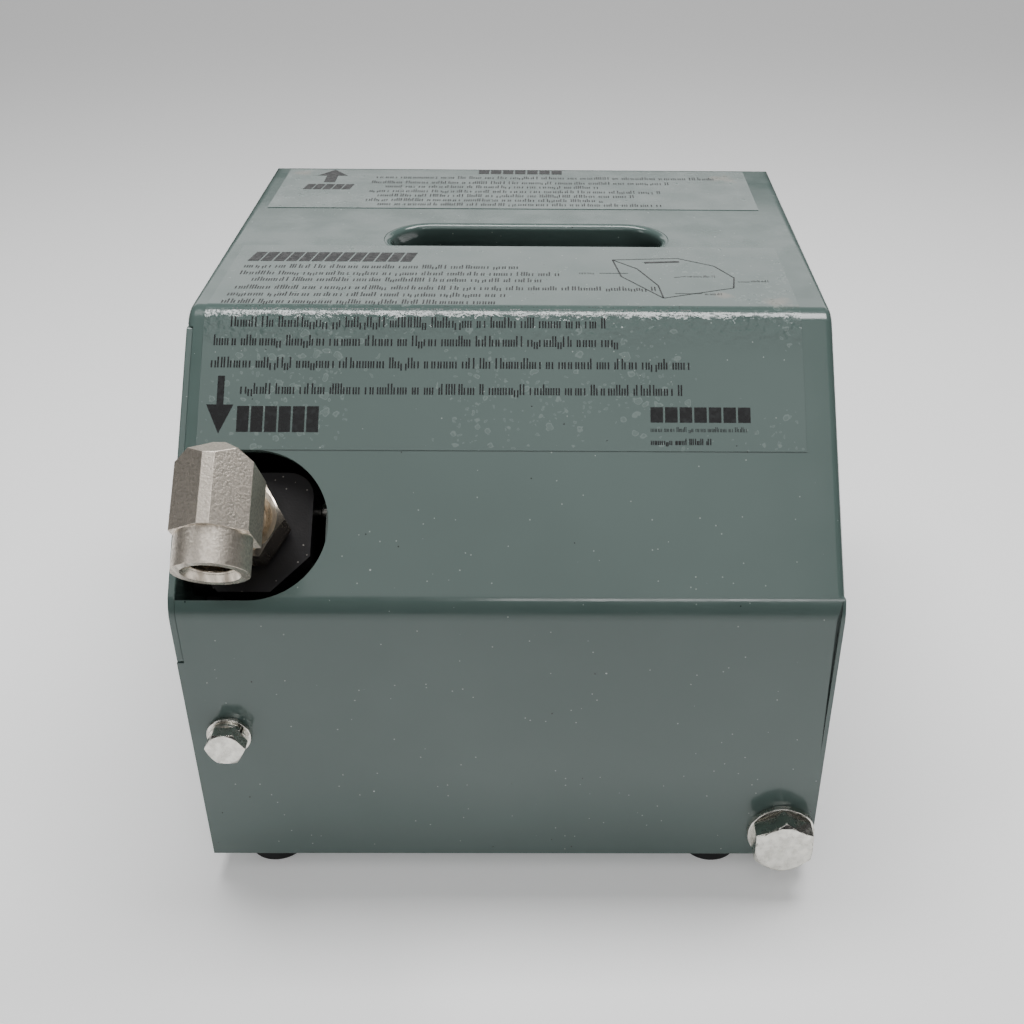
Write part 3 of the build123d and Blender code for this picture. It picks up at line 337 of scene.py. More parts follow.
# %% Bubbles and rings under a film
bubble_group, given, result = group("bubbles", {"Scale": 260.0, "Share": 0.35}, ["Mask", "Height"])
place_in = coordinates(bubble_group)
wander = node(bubble_group, "ShaderNodeTexNoise", Vector=place_in, Scale=350.0,
              Detail=2.0).outputs["Color"]
shift = node(bubble_group, "ShaderNodeVectorMath", {"operation": "MULTIPLY_ADD"}, i0=wander,
             i1=(0.003, 0.003, 0.003), i2=place_in)
cells = node(bubble_group, "ShaderNodeTexVoronoi", Vector=shift.outputs[0],
             Scale=given.outputs["Scale"])
tint = node(bubble_group, "ShaderNodeSeparateColor", Color=cells.outputs["Color"])
reach = maths(bubble_group, "MULTIPLY_ADD", tint.outputs[0], 0.24, 0.12)
from_rim = maths(bubble_group, "SUBTRACT", cells.outputs["Distance"], reach)
rings = maths(bubble_group, "ABSOLUTE", from_rim)
ring = ramp(bubble_group, rings, 0.02, 0.10, 1.0, 0.0)
patches = node(bubble_group, "ShaderNodeTexNoise", Vector=place_in, Scale=26.0,
               Detail=2.0).outputs[0]
level = maths(bubble_group, "MULTIPLY", ramp(bubble_group, patches, 0.40, 0.66),
              given.outputs["Share"])
here = maths(bubble_group, "LESS_THAN", tint.outputs[1], level)
dome = ramp(bubble_group, from_rim, -0.12, 0.04, 1.0, 0.0)
mask = maths(bubble_group, "MAXIMUM", ring, maths(bubble_group, "MULTIPLY", dome, 0.45))
bubble_group.links.new(maths(bubble_group, "MULTIPLY", mask, here), result.inputs["Mask"])
bubble_group.links.new(maths(bubble_group, "MULTIPLY", dome, here), result.inputs["Height"])


# %% Helpers for materials
def srgb(r, g, b):
    """A colour as seen on a screen, 0 to 255, as the shader's linear one."""
    def linear(v):
        """One channel of it."""
        v = v / 255
        return v / 12.92 if v <= 0.04045 else ((v + 0.055) / 1.055) ** 2.4
    return (linear(r), linear(g), linear(b), 1.0)


def finish_named(name, **constants):
    """A material with its shader; constants go on the shader's own sockets."""
    material = bpy.data.materials.new(name)
    material.use_nodes = True
    tree = material.node_tree
    shader = tree.nodes["Principled BSDF"]
    for key, value in constants.items():
        shader.inputs[key.replace("_", " ")].default_value = value
    return material, tree, shader


def effect(tree, shared, output, **values):
    """A shared effect placed in a material with its own values."""
    made = tree.nodes.new("ShaderNodeGroup")
    made.node_tree = shared
    for key, value in values.items():
        made.inputs[key].default_value = value
    return made.outputs[output]


def blend(tree, factor, a, b):
    """Mixes two colours; a and b are colours or sockets."""
    made = node(tree, "ShaderNodeMix", {"data_type": "RGBA"}, i0=factor, i6=a, i7=b)
    return made.outputs[2]


def relief(tree, shader, height, distance, strength=1.0):
    """Feeds a height to the shader's normal; distance is in millimetres."""
    bump = node(tree, "ShaderNodeBump", Height=height, Distance=distance * MM, Strength=strength)
    tree.links.new(bump.outputs[0], shader.inputs["Normal"])


# %% [markdown]
# ## Finishes
# Powder coat is a baked plastic skin: glossy, faintly rippled like orange peel, with dust nibs.
# Its colour hardly varies, so the ripple and the specks carry the realism. The clear film is the
# same green seen through a glossier skin, with trapped air where it was rubbed down badly, a
# crinkle at the bend and a few patches of dried glue.

# %% Powder coat
GREEN = srgb(80, 96, 92)
GREEN_DEEP = srgb(76, 92, 88)
DUST = srgb(170, 180, 174)
GRIT = srgb(30, 40, 38)


def green_skin(name, rough_low, rough_high, ripple_height, coat):
    """Coated steel; returns the parts that a variant adds to."""
    material, tree, shader = finish_named(name, Coat_Weight=coat, Coat_Roughness=0.06)
    tone = effect(tree, ripple_group, "Height", Scale=14.0, Detail=3.0)
    colour = blend(tree, ramp(tree, tone, 0.35, 0.65), GREEN, GREEN_DEEP)
    motes = effect(tree, specks_group, "Mask", Scale=700.0, Size=0.15, Share=0.06)
    nib = effect(tree, specks_group, "Mask", Scale=300.0, Size=0.08, Share=0.025)
    grit = effect(tree, specks_group, "Mask", Scale=340.0, Size=0.08, Share=0.05)
    colour = blend(tree, maths(tree, "MULTIPLY", motes, 0.45), colour, DUST)
    colour = blend(tree, maths(tree, "MULTIPLY", nib, 0.8), colour, DUST)
    colour = blend(tree, grit, colour, GRIT)
    cloud = effect(tree, ripple_group, "Height", Scale=90.0, Detail=3.0)
    tree.links.new(ramp(tree, cloud, 0.3, 0.7, rough_low, rough_high), shader.inputs["Roughness"])
    peel = effect(tree, ripple_group, "Height", Scale=420.0, Detail=1.5)
    height = maths(tree, "MULTIPLY_ADD", peel, ripple_height, maths(tree, "MULTIPLY", nib, 0.03))
    tree.links.new(colour, shader.inputs["Base Color"])
    return material, tree, shader, colour, height


powder_coat, tree, shader, colour, height = green_skin("powder_coat", 0.13, 0.24, 0.05, 0.25)
relief(tree, shader, height, 1.0, 0.35)

# %% Clear film over the coat
film, tree, shader, colour, height = green_skin("clear_film", 0.08, 0.18, 0.03, 0.3)
ring = effect(tree, bubble_group, "Mask", Scale=330.0, Share=0.75)
small = effect(tree, bubble_group, "Mask", Scale=760.0, Share=0.6)
trapped = maths(tree, "MAXIMUM", ring, maths(tree, "MULTIPLY", small, 0.8))
colour = blend(tree, maths(tree, "MULTIPLY", trapped, 0.24), colour, srgb(146, 160, 155))


def smear(tree, place, reach):
    """A ragged patch of dried glue round a place."""
    apart = node(tree, "ShaderNodeVectorMath", {"operation": "DISTANCE"}, i0=coordinates(tree),
                 i1=place)
    ragged = effect(tree, ripple_group, "Height", Scale=240.0, Detail=4.0)
    edge = maths(tree, "MULTIPLY_ADD", ragged, -1.6 * reach * MM, apart.outputs["Value"])
    return ramp(tree, edge, -0.7 * reach * MM, 0.1 * reach * MM, 0.55, 0.0)


GLUE = srgb(122, 116, 104)
for x, y, reach in ((73, 186, 7), (76, 66, 6), (-80, 190, 5), (60, 71, 4)):
    colour = blend(tree, smear(tree, spot(x, y, HEIGHT), reach), colour, GLUE)
tree.links.new(colour, shader.inputs["Base Color"])
lift = effect(tree, bubble_group, "Height", Scale=330.0, Share=0.75)
crinkle = effect(tree, ripple_group, "Height", Scale=400.0, Detail=2.5)
height_above = node(tree, "ShaderNodeSeparateXYZ", Vector=coordinates(tree)).outputs[2]
near_bend = ramp(tree, height_above, spot(0, 0, HEIGHT - 9.0).z, spot(0, 0, HEIGHT - 3.5).z)
below_top = ramp(tree, height_above, spot(0, 0, HEIGHT - 0.6).z, spot(0, 0, HEIGHT - 0.05).z,
                 1.0, 0.0)
bend_zone = maths(tree, "MULTIPLY", near_bend, below_top)
height = maths(tree, "MULTIPLY_ADD", lift, 0.10, height)
height = maths(tree, "MULTIPLY_ADD", maths(tree, "MULTIPLY", crinkle, bend_zone), 1.5, height)
relief(tree, shader, height, 1.0, 0.4)

# %% Printing ink
ink, tree, shader = finish_named("print_ink", Coat_Weight=0.1, Specular_IOR_Level=0.3)
fade = effect(tree, ripple_group, "Height", Scale=700.0, Detail=3.0)
thin_ink = blend(tree, ramp(tree, fade, 0.45, 0.85), srgb(14, 15, 16), srgb(34, 37, 38))
tree.links.new(thin_ink, shader.inputs["Base Color"])
tree.links.new(ramp(tree, fade, 0.3, 0.7, 0.22, 0.4), shader.inputs["Roughness"])


# %% Metals
def metal(name, light, dark, rough, grain_scale, grain, streak=0.0):
    """Bare metal: mottled between two tones, with grain and perhaps rolled streaks."""
    material, tree, shader = finish_named(name, Metallic=1.0)
    tone = effect(tree, ripple_group, "Height", Scale=grain_scale, Detail=5.0)
    if streak:
        lines = effect(tree, streak_group, "Mask", Scale=90.0, Stretch=5.0)
        tone = maths(tree, "MULTIPLY_ADD", lines, streak, maths(tree, "MULTIPLY", tone, 1 - streak))
    mottled = blend(tree, ramp(tree, tone, 0.32, 0.68), light, dark)
    tree.links.new(mottled, shader.inputs["Base Color"])
    worn = ramp(tree, tone, 0.3, 0.7, rough - 0.07, rough + 0.09)
    tree.links.new(worn, shader.inputs["Roughness"])
    pits = effect(tree, ripple_group, "Height", Scale=grain_scale, Detail=4.0)
    relief(tree, shader, pits, grain, 0.6)
    return material


zinc = metal("bright_zinc", srgb(232, 230, 222), srgb(204, 202, 194), 0.22, 420.0, 0.04)
stainless = metal("turned_stainless", srgb(226, 216, 200), srgb(150, 141, 128), 0.22, 700.0,
                  0.02, 0.85)
forged = metal("blasted_forging", srgb(240, 230, 216), srgb(198, 189, 176), 0.40, 1500.0, 0.14)
brass = metal("turned_brass", srgb(206, 170, 100), srgb(160, 124, 66), 0.3, 700.0, 0.02, 0.6)
spring_steel = metal("spring_wire", srgb(120, 120, 120), srgb(70, 70, 72), 0.35, 800.0, 0.03, 0.4)


# %% Mouldings and rubber
def moulding(name, colour_a, colour_b, rough, scale, grain, dust):
    """Plastic or rubber: fine grain, with pale dust lodged in it."""
    material, tree, shader = finish_named(name, Specular_IOR_Level=0.25)
    tone = effect(tree, ripple_group, "Height", Scale=scale / 8, Detail=3.0)
    colour = blend(tree, ramp(tree, tone, 0.35, 0.65), colour_a, colour_b)
    motes = effect(tree, specks_group, "Mask", Scale=900.0, Size=0.2, Share=dust)
    dusty = blend(tree, maths(tree, "MULTIPLY", motes, 0.6), colour, srgb(150, 146, 140))
    tree.links.new(dusty, shader.inputs["Base Color"])
    worn = ramp(tree, tone, 0.3, 0.7, rough - 0.06, rough + 0.08)
    tree.links.new(worn, shader.inputs["Roughness"])
    relief(tree, shader, effect(tree, ripple_group, "Height", Scale=scale, Detail=3.0), grain, 0.7)
    return material


black_plastic = moulding("black_moulding", srgb(15, 14, 15), srgb(22, 20, 22), 0.5, 1500.0,
                         0.06, 0.12)
rubber = moulding("black_rubber", srgb(30, 30, 31), srgb(42, 42, 43), 0.72, 900.0, 0.05, 0.03)
white_plastic = moulding("bearing_plastic", srgb(226, 222, 210), srgb(206, 202, 190), 0.45,
                         800.0, 0.03, 0.01)
FINISH = {
    "powder_coat": powder_coat, "clear_film": film, "dark_steel": zinc, "stainless": stainless,
    "forged_steel": forged, "black_plastic": black_plastic, "rubber": rubber, "brass": brass,
    "spring_steel": spring_steel, "white_plastic": white_plastic,
}
for name, cad in frame["nodes"].items():
    cad.data.materials.clear()
    cad.data.materials.append(FINISH[node_slot[name]])
print("finishes", len(FINISH))

# %% [markdown]
# ## Housing
# The box is taken to be one strip bent three times, with a wall welded in at the right. It is made
# as the solid that the strip wraps, with its bends as vertex bevels and its long edges rounded;
# then the inside is cut away and each opening is punched, in the order a workshop would.

# %% Outline of the bent strip
BEND_SHIFT = tan(radians(22.5))


def wrap_outline(inset, low):
    """The strip's side view, inset square to each panel, as (y, z) corners and their radii."""
    corner = inset * BEND_SHIFT
    outline = [
        (inset, low), (inset, FRONT_HEIGHT - corner), (SLOPE_RUN + corner, HEIGHT - inset),
        (DEPTH - inset, HEIGHT - inset), (DEPTH - inset, low),
    ]
    return outline, {1: FRONT_BEND - inset, 2: TOP_BEND - inset, 3: REAR_BEND - inset}


# %% Solid with rounded long edges
EDGE_ROUND = 2.2
ROUNDED_ABOVE = FRONT_HEIGHT + 2.5
outline, bends = wrap_outline(0, 0)
solid = prism(outline, side_view(left_x), right_x - left_x, bends, steps=12)
long_edges = [
    e for e in solid.edges
    if abs(e.verts[0].co.x - e.verts[1].co.x) < 1e-6
    and min(v.co.z for v in e.verts) > front.z + ROUNDED_ABOVE * MM
    and max(v.co.y for v in e.verts) < back_y - REAR_BEND * MM * 0.9
]
bmesh.ops.bevel(solid, geom=long_edges, offset=EDGE_ROUND * MM, offset_type="OFFSET", segments=5,
                profile=0.5, affect="EDGES", material=-1)

# %% Openings
SEAM_Z = HEIGHT - 4.0
STEP_Z = 72.0
MOUTH_MARGIN = 14.0
SLOT_X, SLOT_Y, SLOT_LENGTH, SLOT_WIDTH, SLOT_ROLL = 3.0, 120.0, 86.0, 25.0, 1.8
OUTLET_X, OUTLET_U, OUTLET_R = -69.0, 23.0, 20.7
GUN_X, INLET_Z, NOTCH_R = -70.5, 25.0, 16.0
PIVOT_X, PIVOT_Z, PIVOT_HOLE_R = 80.0, 10.0, 5.3
SCREW_X, SCREW_Z, SCREW_HOLE_R = -79.0, 47.0, 3.3
BELOW = -5.0
inner, inner_bends = wrap_outline(SHEET, BELOW)
mouth, _ = wrap_outline(MOUTH_MARGIN, BELOW)
side_gap = [
    (SHEET, BELOW), (SHEET, STEP_Z), (-SHEET, STEP_Z), (-SHEET, SEAM_Z), (DEPTH + SHEET, SEAM_Z),
    (DEPTH + SHEET, BELOW),
]


def open_slot(tip_x, middle, radius):
    """A round-ended slot that runs out past the left side; the first two corners are round."""
    low, high = middle - radius, middle + radius
    return [(tip_x, low), (tip_x, high), (left_x - SHEET, high), (left_x - SHEET, low)]


def sunk(placement, depth):
    """The same placement, lower by so many millimetres."""
    return placement @ Matrix.Translation((0, 0, -depth * MM))


def from_front(y):
    """A face-on placement so far behind the front; local Z points to the front."""
    return facing(spot(0, y, 0), (1, 0, 0), (0, 0, 1))


# A pointed notch at the right end of the front bend, where the strip meets the wall.
slit = [(right_x - 1.3, 39), (right_x - 1.1, 87), (right_x - 0.7, 92.5), (right_x - 2.3, 87)]
slot_size = (SLOT_LENGTH + 2 * SLOT_ROLL, SLOT_WIDTH + 2 * SLOT_ROLL)
cutters = [
    prism(inner, side_view(left_x + SHEET), right_x - left_x - 2 * SHEET, inner_bends, steps=12),
    prism(side_gap, side_view(left_x - 1), SHEET + 1),
    prism(mouth, side_view(right_x - 2 * SHEET), 3 * SHEET, {i: MOUTH_MARGIN for i in (1, 2, 3)}),
    stadium(SLOT_X, SLOT_Y, *slot_size, sunk(top_view, 10), 20, 24),
    prism(open_slot(OUTLET_X + OUTLET_R, OUTLET_U, OUTLET_R), sunk(slope_view, 10), 14,
          {i: OUTLET_R - 0.02 for i in (0, 1)}, 20),
    prism(open_slot(GUN_X + NOTCH_R, INLET_Z, NOTCH_R), from_front(DEPTH + 2), 6,
          {i: NOTCH_R - 0.02 for i in (0, 1)}, 16),
    disc(PIVOT_X, PIVOT_Z, PIVOT_HOLE_R, from_front(DEPTH + 2), DEPTH + 6),
    disc(SCREW_X, SCREW_Z, SCREW_HOLE_R, from_front(3), 6),
    prism(slit, from_front(1.9), 4),
]
shell_mesh = carve(solid, cutters)
bmesh.ops.remove_doubles(shell_mesh, verts=shell_mesh.verts, dist=1e-6)
crisp(shell_mesh, 24)
print("housing faces", len(shell_mesh.faces))
housing = soften(as_object(shell_mesh, "housing_skin"), 0.3, 35)
fit(housing, powder_coat, "housing", "powder_coat", "housing_shell", "mouth_wall", "rear_panel")

# %% [markdown]
# The handle slot's rim is the sheet turned down into the hole, so fingers meet a roll and not a
# burr. The slot's outline is drawn again and again, each time a little smaller and lower, which
# follows a quarter-round and then a short wall; bridging the outlines makes the surface.

# %% Rolled rim of the handle slot
ROLL_STEPS = 6
SLOT_LIP = 7.0
SLOT_COVER = 0.4
RIM_PROUD = 0.03
RIM_WALL = 1.6
rim = bmesh.new()
rim_steps = [(-SLOT_COVER, -RIM_PROUD)]
for i in range(ROLL_STEPS + 1):
    turn = pi / 2 * i / ROLL_STEPS
    rim_steps.append((SLOT_ROLL * sin(turn), SLOT_ROLL * (1 - cos(turn)) - RIM_PROUD))
rim_steps.append((SLOT_ROLL, SLOT_LIP))
rings = []
for inward, down in rim_steps:
    stadium_face(rim, SLOT_X, SLOT_Y, slot_size[0] - 2 * inward, slot_size[1] - 2 * inward,
                 sunk(top_view, down), 22)
    flat = rim.faces[:][-1]
    rings.append(flat.edges[:])
    bmesh.ops.delete(rim, geom=[flat], context="FACES_ONLY")
for upper, lower in zip(rings, rings[1:]):
    bmesh.ops.bridge_loops(rim, edges=upper + lower)
rim.normal_update()
if sum(face.normal.z for face in rim.faces) < 0:
    bmesh.ops.reverse_faces(rim, faces=rim.faces)
print("rim faces", len(rim.faces))
crisp(rim, 40)
rim_piece = as_object(rim, "handle_slot_rim")
rim_wall = rim_piece.modifiers.new("wall", "SOLIDIFY")
rim_wall.thickness, rim_wall.offset = RIM_WALL * MM, -1.0
fit(rim_piece, powder_coat, "housing", "powder_coat")

# %% [markdown]
# ## Side plate
# The left wall comes off for access to the gun. Its edge shows down the slope and the upper part
# of the front; lower down it steps back. Two flanges turn in, behind the front and rear panels.

# %% Side plate
PLATE_GAP = 0.3
PLATE_INSET = 0.1
seam_low = SEAM_Z - PLATE_GAP
plate_outline = [
    (SHEET, 0), (SHEET, STEP_Z + PLATE_GAP), (PLATE_INSET, STEP_Z + PLATE_GAP),
    (PLATE_INSET, FRONT_HEIGHT),
    (SLOPE_RUN - (HEIGHT - SEAM_Z) + PLATE_INSET, seam_low), (DEPTH, seam_low), (DEPTH, 0),
]
plate = prism(plate_outline, side_view(left_x), SHEET, {3: FRONT_BEND, 4: 1.0, 5: 1.0, 6: 1.0}, 10)
crisp(plate)
side_plate = soften(as_object(plate, "side_plate_skin"), 0.4)
fit(side_plate, powder_coat, "housing", "powder_coat", "side_plate")
FLANGE_IN, FLANGE_OUT = left_x + SHEET - 0.5, left_x + 18
for name, low, high, y in (("front", 1, STEP_Z - 1, 2 * SHEET), ("rear", 70, 130, DEPTH - SHEET)):
    outline = [(FLANGE_IN, low), (FLANGE_OUT, low), (FLANGE_OUT, high), (FLANGE_IN, high)]
    flange = prism(outline, from_front(y), SHEET, {1: 3, 2: 3})
    crisp(flange)
    flange_piece = soften(as_object(flange, "side_plate_" + name + "_flange"), 0.3)
    fit(flange_piece, powder_coat, "housing", "powder_coat")

# %% [markdown]
# ## Carried-over parts
# Bolts, the pedal and the gun have the right shape already. A copy of each CAD mesh is merged,
# its flat areas are joined up, and a fine bevel breaks the edges, as a real tool or mould does.
# The seven small parts inside the valve are out of sight, so they stay as the CAD made them.

# %% Polish the CAD parts
EDGE = {
    "base_plate": 0.3, "gun_bracket": 0.4, "foot_pedal": 0.5, "pedal_tube": 0.3,
    "pedal_tread": 0.5, "rubber_feet": 0.7, "foot_screws": 0.25, "foot_nuts": 0.25,
    "pedal_bushes": 0.2, "dome_screw": 0.2, "dome_nuts": 0.3, "pivot_bolt": 0.3,
    "pivot_washers": 0.35, "pivot_nut": 0.3, "spring_seat": 0.3, "spring_perch": 0.4,
    "side_screw": 0.25, "side_flat_washer": 0.3, "side_lock_washer": 0.2, "side_clinch_nut": 0.2,
    "gun_shell_left": 0.35, "gun_shell_right": 0.35, "gun_screws": 0.2, "gun_fixing_screws": 0.3,
    "gun_spacers": 0.15, "trigger": 0.8, "trigger_pin": 0.2, "outlet_tube": 0.2,
    "outlet_nut": 0.3, "elbow_fitting": 0.5, "inlet_tube": 0.2, "inlet_fitting": 0.4,
}


def polish(name, width):
    """Replaces a CAD node with its own shape, merged and with broken edges."""
    bm = bmesh.new()
    bm.from_mesh(frame["nodes"][name].data)
    bmesh.ops.remove_doubles(bm, verts=bm.verts, dist=2e-6)
    bmesh.ops.dissolve_limit(bm, angle_limit=radians(0.4), verts=bm.verts, edges=bm.edges)
    crisp(bm)
    made = soften(as_object(bm, name + "_skin"), width)
    return fit(made, FINISH[node_slot[name]], node_body[name], node_slot[name], name)


polished = {name: polish(name, width) for name, width in EDGE.items()}
print("polished", len(polished))

# %% [markdown]
# The elbow is a blasted forging whose collar was turned on a lathe. It is one piece of metal, so
# it stays one mesh, and the faces past the shoulder take the turned finish.

# %% Turned collar of the elbow
mounts = {m["name"]: m for m in frame["record"]["mounts"]}
outlet_axis = Vector(mounts["outlet_port"]["axis"])
outlet_middle = Vector(mounts["outlet_port"]["pos_m"])
COLLAR_BACK = 1.5
elbow = polished["elbow_fitting"]
elbow.data.materials.append(stainless)
turned = 0
for face in elbow.data.polygons:
    corners = [elbow.data.vertices[v].co for v in face.vertices]
    if min((c - outlet_middle).dot(outlet_axis) for c in corners) > -COLLAR_BACK * MM:
        face.material_index = 1
        turned += 1
print("turned faces", turned)

# %% [markdown]
# ## Films and print
# Two clear films carry printed notes. There are no words: rows of plain stems and blocks stand
# where lines of type would, so the eye reads them as print. They are laid out flat, by distance
# across and distance up the strip, and then wrapped over the bend with the film.

# %% Wrapping flat artwork over the bend
BEND_START = sqrt(2) * SLOPE_RUN - TOP_BEND * BEND_SHIFT
BEND_LENGTH = TOP_BEND * pi / 4
TOP_START = SLOPE_RUN + TOP_BEND * BEND_SHIFT


def on_strip(x, s, lift):
    """x across and s up the slope, over the bend and along the top; lift is off the surface."""
    if s <= BEND_START:
        y, z = s / sqrt(2), FRONT_HEIGHT + s / sqrt(2)
        ny, nz = -1 / sqrt(2), 1 / sqrt(2)
    elif s <= BEND_START + BEND_LENGTH:
        turn = (s - BEND_START) / TOP_BEND
        ny, nz = -sin(pi / 4 - turn), cos(pi / 4 - turn)
        y, z = TOP_START + TOP_BEND * ny, HEIGHT - TOP_BEND + TOP_BEND * nz
    else:
        y, z = TOP_START + s - BEND_START - BEND_LENGTH, HEIGHT
        ny, nz = 0, 1
    return spot(x, y + ny * lift, z + nz * lift)


def from_top(y):
    """Distance up the strip of a place on the top panel."""
    return BEND_START + BEND_LENGTH + y - TOP_START


def wrap(bm, lift):
    """Moves flat artwork, in millimetres (x, s, extra height), onto the strip."""
    for vert in bm.verts:
        vert.co = on_strip(vert.co.x, vert.co.y, lift + vert.co.z)


# %% Films
FILM = 0.18
FILM_LEFT, FILM_RIGHT = -85.0, 81.0
WRAP_LOW, WRAP_HIGH = 43.8, 112.0
REAR_LOW, REAR_HIGH = 150.0, 195.0


def film_sheet(name, low, high):
    """A rectangle of film, fine enough to bend."""
    bm = bmesh.new()
    bmesh.ops.create_grid(bm, x_segments=40, y_segments=int((high - low) / 0.5), size=0.5)
    bmesh.ops.scale(bm, verts=bm.verts, vec=(FILM_RIGHT - FILM_LEFT, high - low, 1))
    bmesh.ops.translate(bm, verts=bm.verts, vec=((FILM_LEFT + FILM_RIGHT) / 2, (low + high) / 2, 0))
    wrap(bm, FILM - 0.02)
    bm.normal_update()
    if sum((face.normal for face in bm.faces), Vector()).dot(Vector((0, -1, 1))) < 0:
        bmesh.ops.reverse_faces(bm, faces=bm.faces)
    bmesh.ops.solidify(bm, geom=bm.faces, thickness=(FILM - 0.04) * MM)
    bmesh.ops.recalc_face_normals(bm, faces=bm.faces)
    crisp(bm, 40)
    return as_object(bm, name)


wrap_film = film_sheet("film_over_bend", WRAP_LOW, from_top(WRAP_HIGH))
fit(wrap_film, film, "housing", "clear_film", "label_films")
rear_film = film_sheet("film_at_rear", from_top(REAR_LOW), from_top(REAR_HIGH))
fit(rear_film, film, "housing", "clear_film")

# %% Print
chance = random.Random(7)


def block(bm, x, s, width, height, lean=0.0):
    """One block of ink with its lower left corner at (x, s); lean pushes its top to the right."""
    shape = Matrix.Translation((x + width / 2 + lean / 2, s + height / 2, 0))
    shape @= Matrix(((width, lean, 0, 0), (0, height, 0, 0), (0, 0, 1, 0), (0, 0, 0, 1)))
    bmesh.ops.create_grid(bm, x_segments=1, y_segments=1, size=0.5, matrix=shape)


def sign(bm, x, s, width, height, weight):
    """A letter-sized mark that is no letter: two plain stems."""
    block(bm, x, s, weight, height)
    block(bm, x + width - weight, s, weight, height)


def type_row(bm, x0, x1, s, size, bold=False):
    """A row of word-like groups from x0 to x1, with its foot at s."""
    x = x0
    letters = 0
    word = chance.randint(3, 8)
    weight = size * (0.18 if bold else 0.13)
    while x < x1 - size * 0.5:
        width = size * chance.choice((0.12, 0.36, 0.40, 0.44, 0.52))
        tall = chance.random()
        height = size * (0.95 if tall > 0.74 else 0.62)
        if width < size * 0.2:
            block(bm, x, s, weight, height)
        else:
            sign(bm, x, s - (size * 0.2 if tall < 0.08 else 0.0), width, height, weight)
        x += width + size * 0.09
        letters += 1
        if letters >= word:
            x += size * 0.34
            letters, word = 0, chance.randint(2, 8)


def heading(bm, x0, x1, s, height, count, lean=0.0):
    """A bold row of equal solid blocks."""
    pitch = (x1 - x0) / count
    for i in range(count):
        block(bm, x0 + i * pitch, s, pitch * 0.86, height, lean)


def stroke(bm, a, b, width):
    """A ruled line between two flat places."""
    a, b = Vector(a).to_3d(), Vector(b).to_3d()
    side = (b - a).cross(Vector((0, 0, 1))).normalized() * width / 2
    bm.faces.new([bm.verts.new(p) for p in (a - side, b - side, b + side, a + side)])


def arrow(bm, x, s, length, shaft, head, head_length):
    """An arrow along the strip; a negative length points down."""
    way = 1 if length > 0 else -1
    neck = s + length - way * head_length
    block(bm, x - shaft / 2, min(s, neck), shaft, abs(neck - s))
    point = [(x - head / 2, neck, 0), (x + head / 2, neck, 0), (x, s + length, 0)]
    bm.faces.new([bm.verts.new(place) for place in point])


art = bmesh.new()
TYPE = 3.3
top_rows = [
    (-81, 3.5, 92.9), (-81, 14, 87.2), (-76.5, 9, 82.0), (-80, 43, 75.6), (-81, -1.6, 70.2),
    (-81.5, -3.7, 64.6),
]
for x0, x1, y in top_rows:
    type_row(art, x0, x1, from_top(y) - TYPE / 3, TYPE)
slope_rows = [
    (-77.5, 53.3, 84.4), (-77.6, 27.7, 80.4), (-82.0, 31, 74.9), (-82.4, 50.4, 68.4),
    (-73.9, 48, 60.8),
]
for x0, x1, u in slope_rows:
    type_row(art, x0, x1, u - TYPE / 3, TYPE)
note_rows = [
    (-52.5, 70, 185.3), (-53.5, 53, 179.2), (-48, 29, 174.2), (-53, 49.7, 168.8),
    (-49.6, 41, 163.8), (-53, 29, 158.8), (-48.4, 49.7, 154.0),
]
for x0, x1, y in note_rows:
    type_row(art, x0, x1, from_top(y) - TYPE / 3, TYPE)
heading(art, -81, -31, from_top(97.5), 8.0, 13, 1.4)
heading(art, -16, 15, from_top(190.3), 5.0, 7)
heading(art, -76.7, -59.8, from_top(170.5), 6.2, 5, 1.0)
heading(art, -74.4, -51.6, 48.8, 7.4, 6)
arrow(art, -68.6, from_top(179), 15.5, 4.0, 11.0, 7.5)
arrow(art, -79.2, 64.9, -16.6, 1.9, 7.4, 8.3)
heading(art, 38.5, 66.5, 52.0, 4.4, 7)
type_row(art, 38.5, 65.0, 49.3, 1.5)
type_row(art, 38.5, 56.0, 45.6, 1.9, True)


# %% Line drawing of the box on the film
def sketch_box(bm, x, y, width, height, line):
    """A bare outline of a box with four leader lines, as an assembly note would show."""
    def at(a, b):
        """A place in the drawing, where a and b run from 0 to 1 across and up it."""
        return (x + a * width, from_top(y + b * height))
    corners = {
        "a": (0.0, 0.95), "b": (0.56, 1.0), "c": (0.86, 0.80), "d": (1.0, 0.50),
        "e": (0.97, 0.25), "f": (0.38, 0.0), "g": (0.06, 0.52), "h": (0.20, 0.72),
        "k": (0.355, 0.30),
    }
    for pair in ("ab", "bc", "cd", "de", "ef", "fg", "ga", "ah", "hk", "kf"):
        stroke(bm, at(*corners[pair[0]]), at(*corners[pair[1]]), line)
    stroke(bm, at(0.27, 0.88), at(0.57, 0.91), line * 3)
    leaders = [
        ((-0.12, 0.60), (0.12, 0.60)), ((0.50, 0.50), (0.60, 0.53)), ((1.02, 0.40), (1.12, 0.40)),
        ((0.48, 0.11), (0.70, 0.11)),
    ]
    for a, b in leaders:
        stroke(bm, at(*a), at(*b), line * 0.8)
    for a, b, w in ((-0.29, 0.60, 5.0), (0.61, 0.53, 9.0), (1.13, 0.42, 6.0), (0.72, 0.10, 5.5)):
        px, ps = at(a, b)
        type_row(bm, px, px + w, ps - 0.7, 1.7)


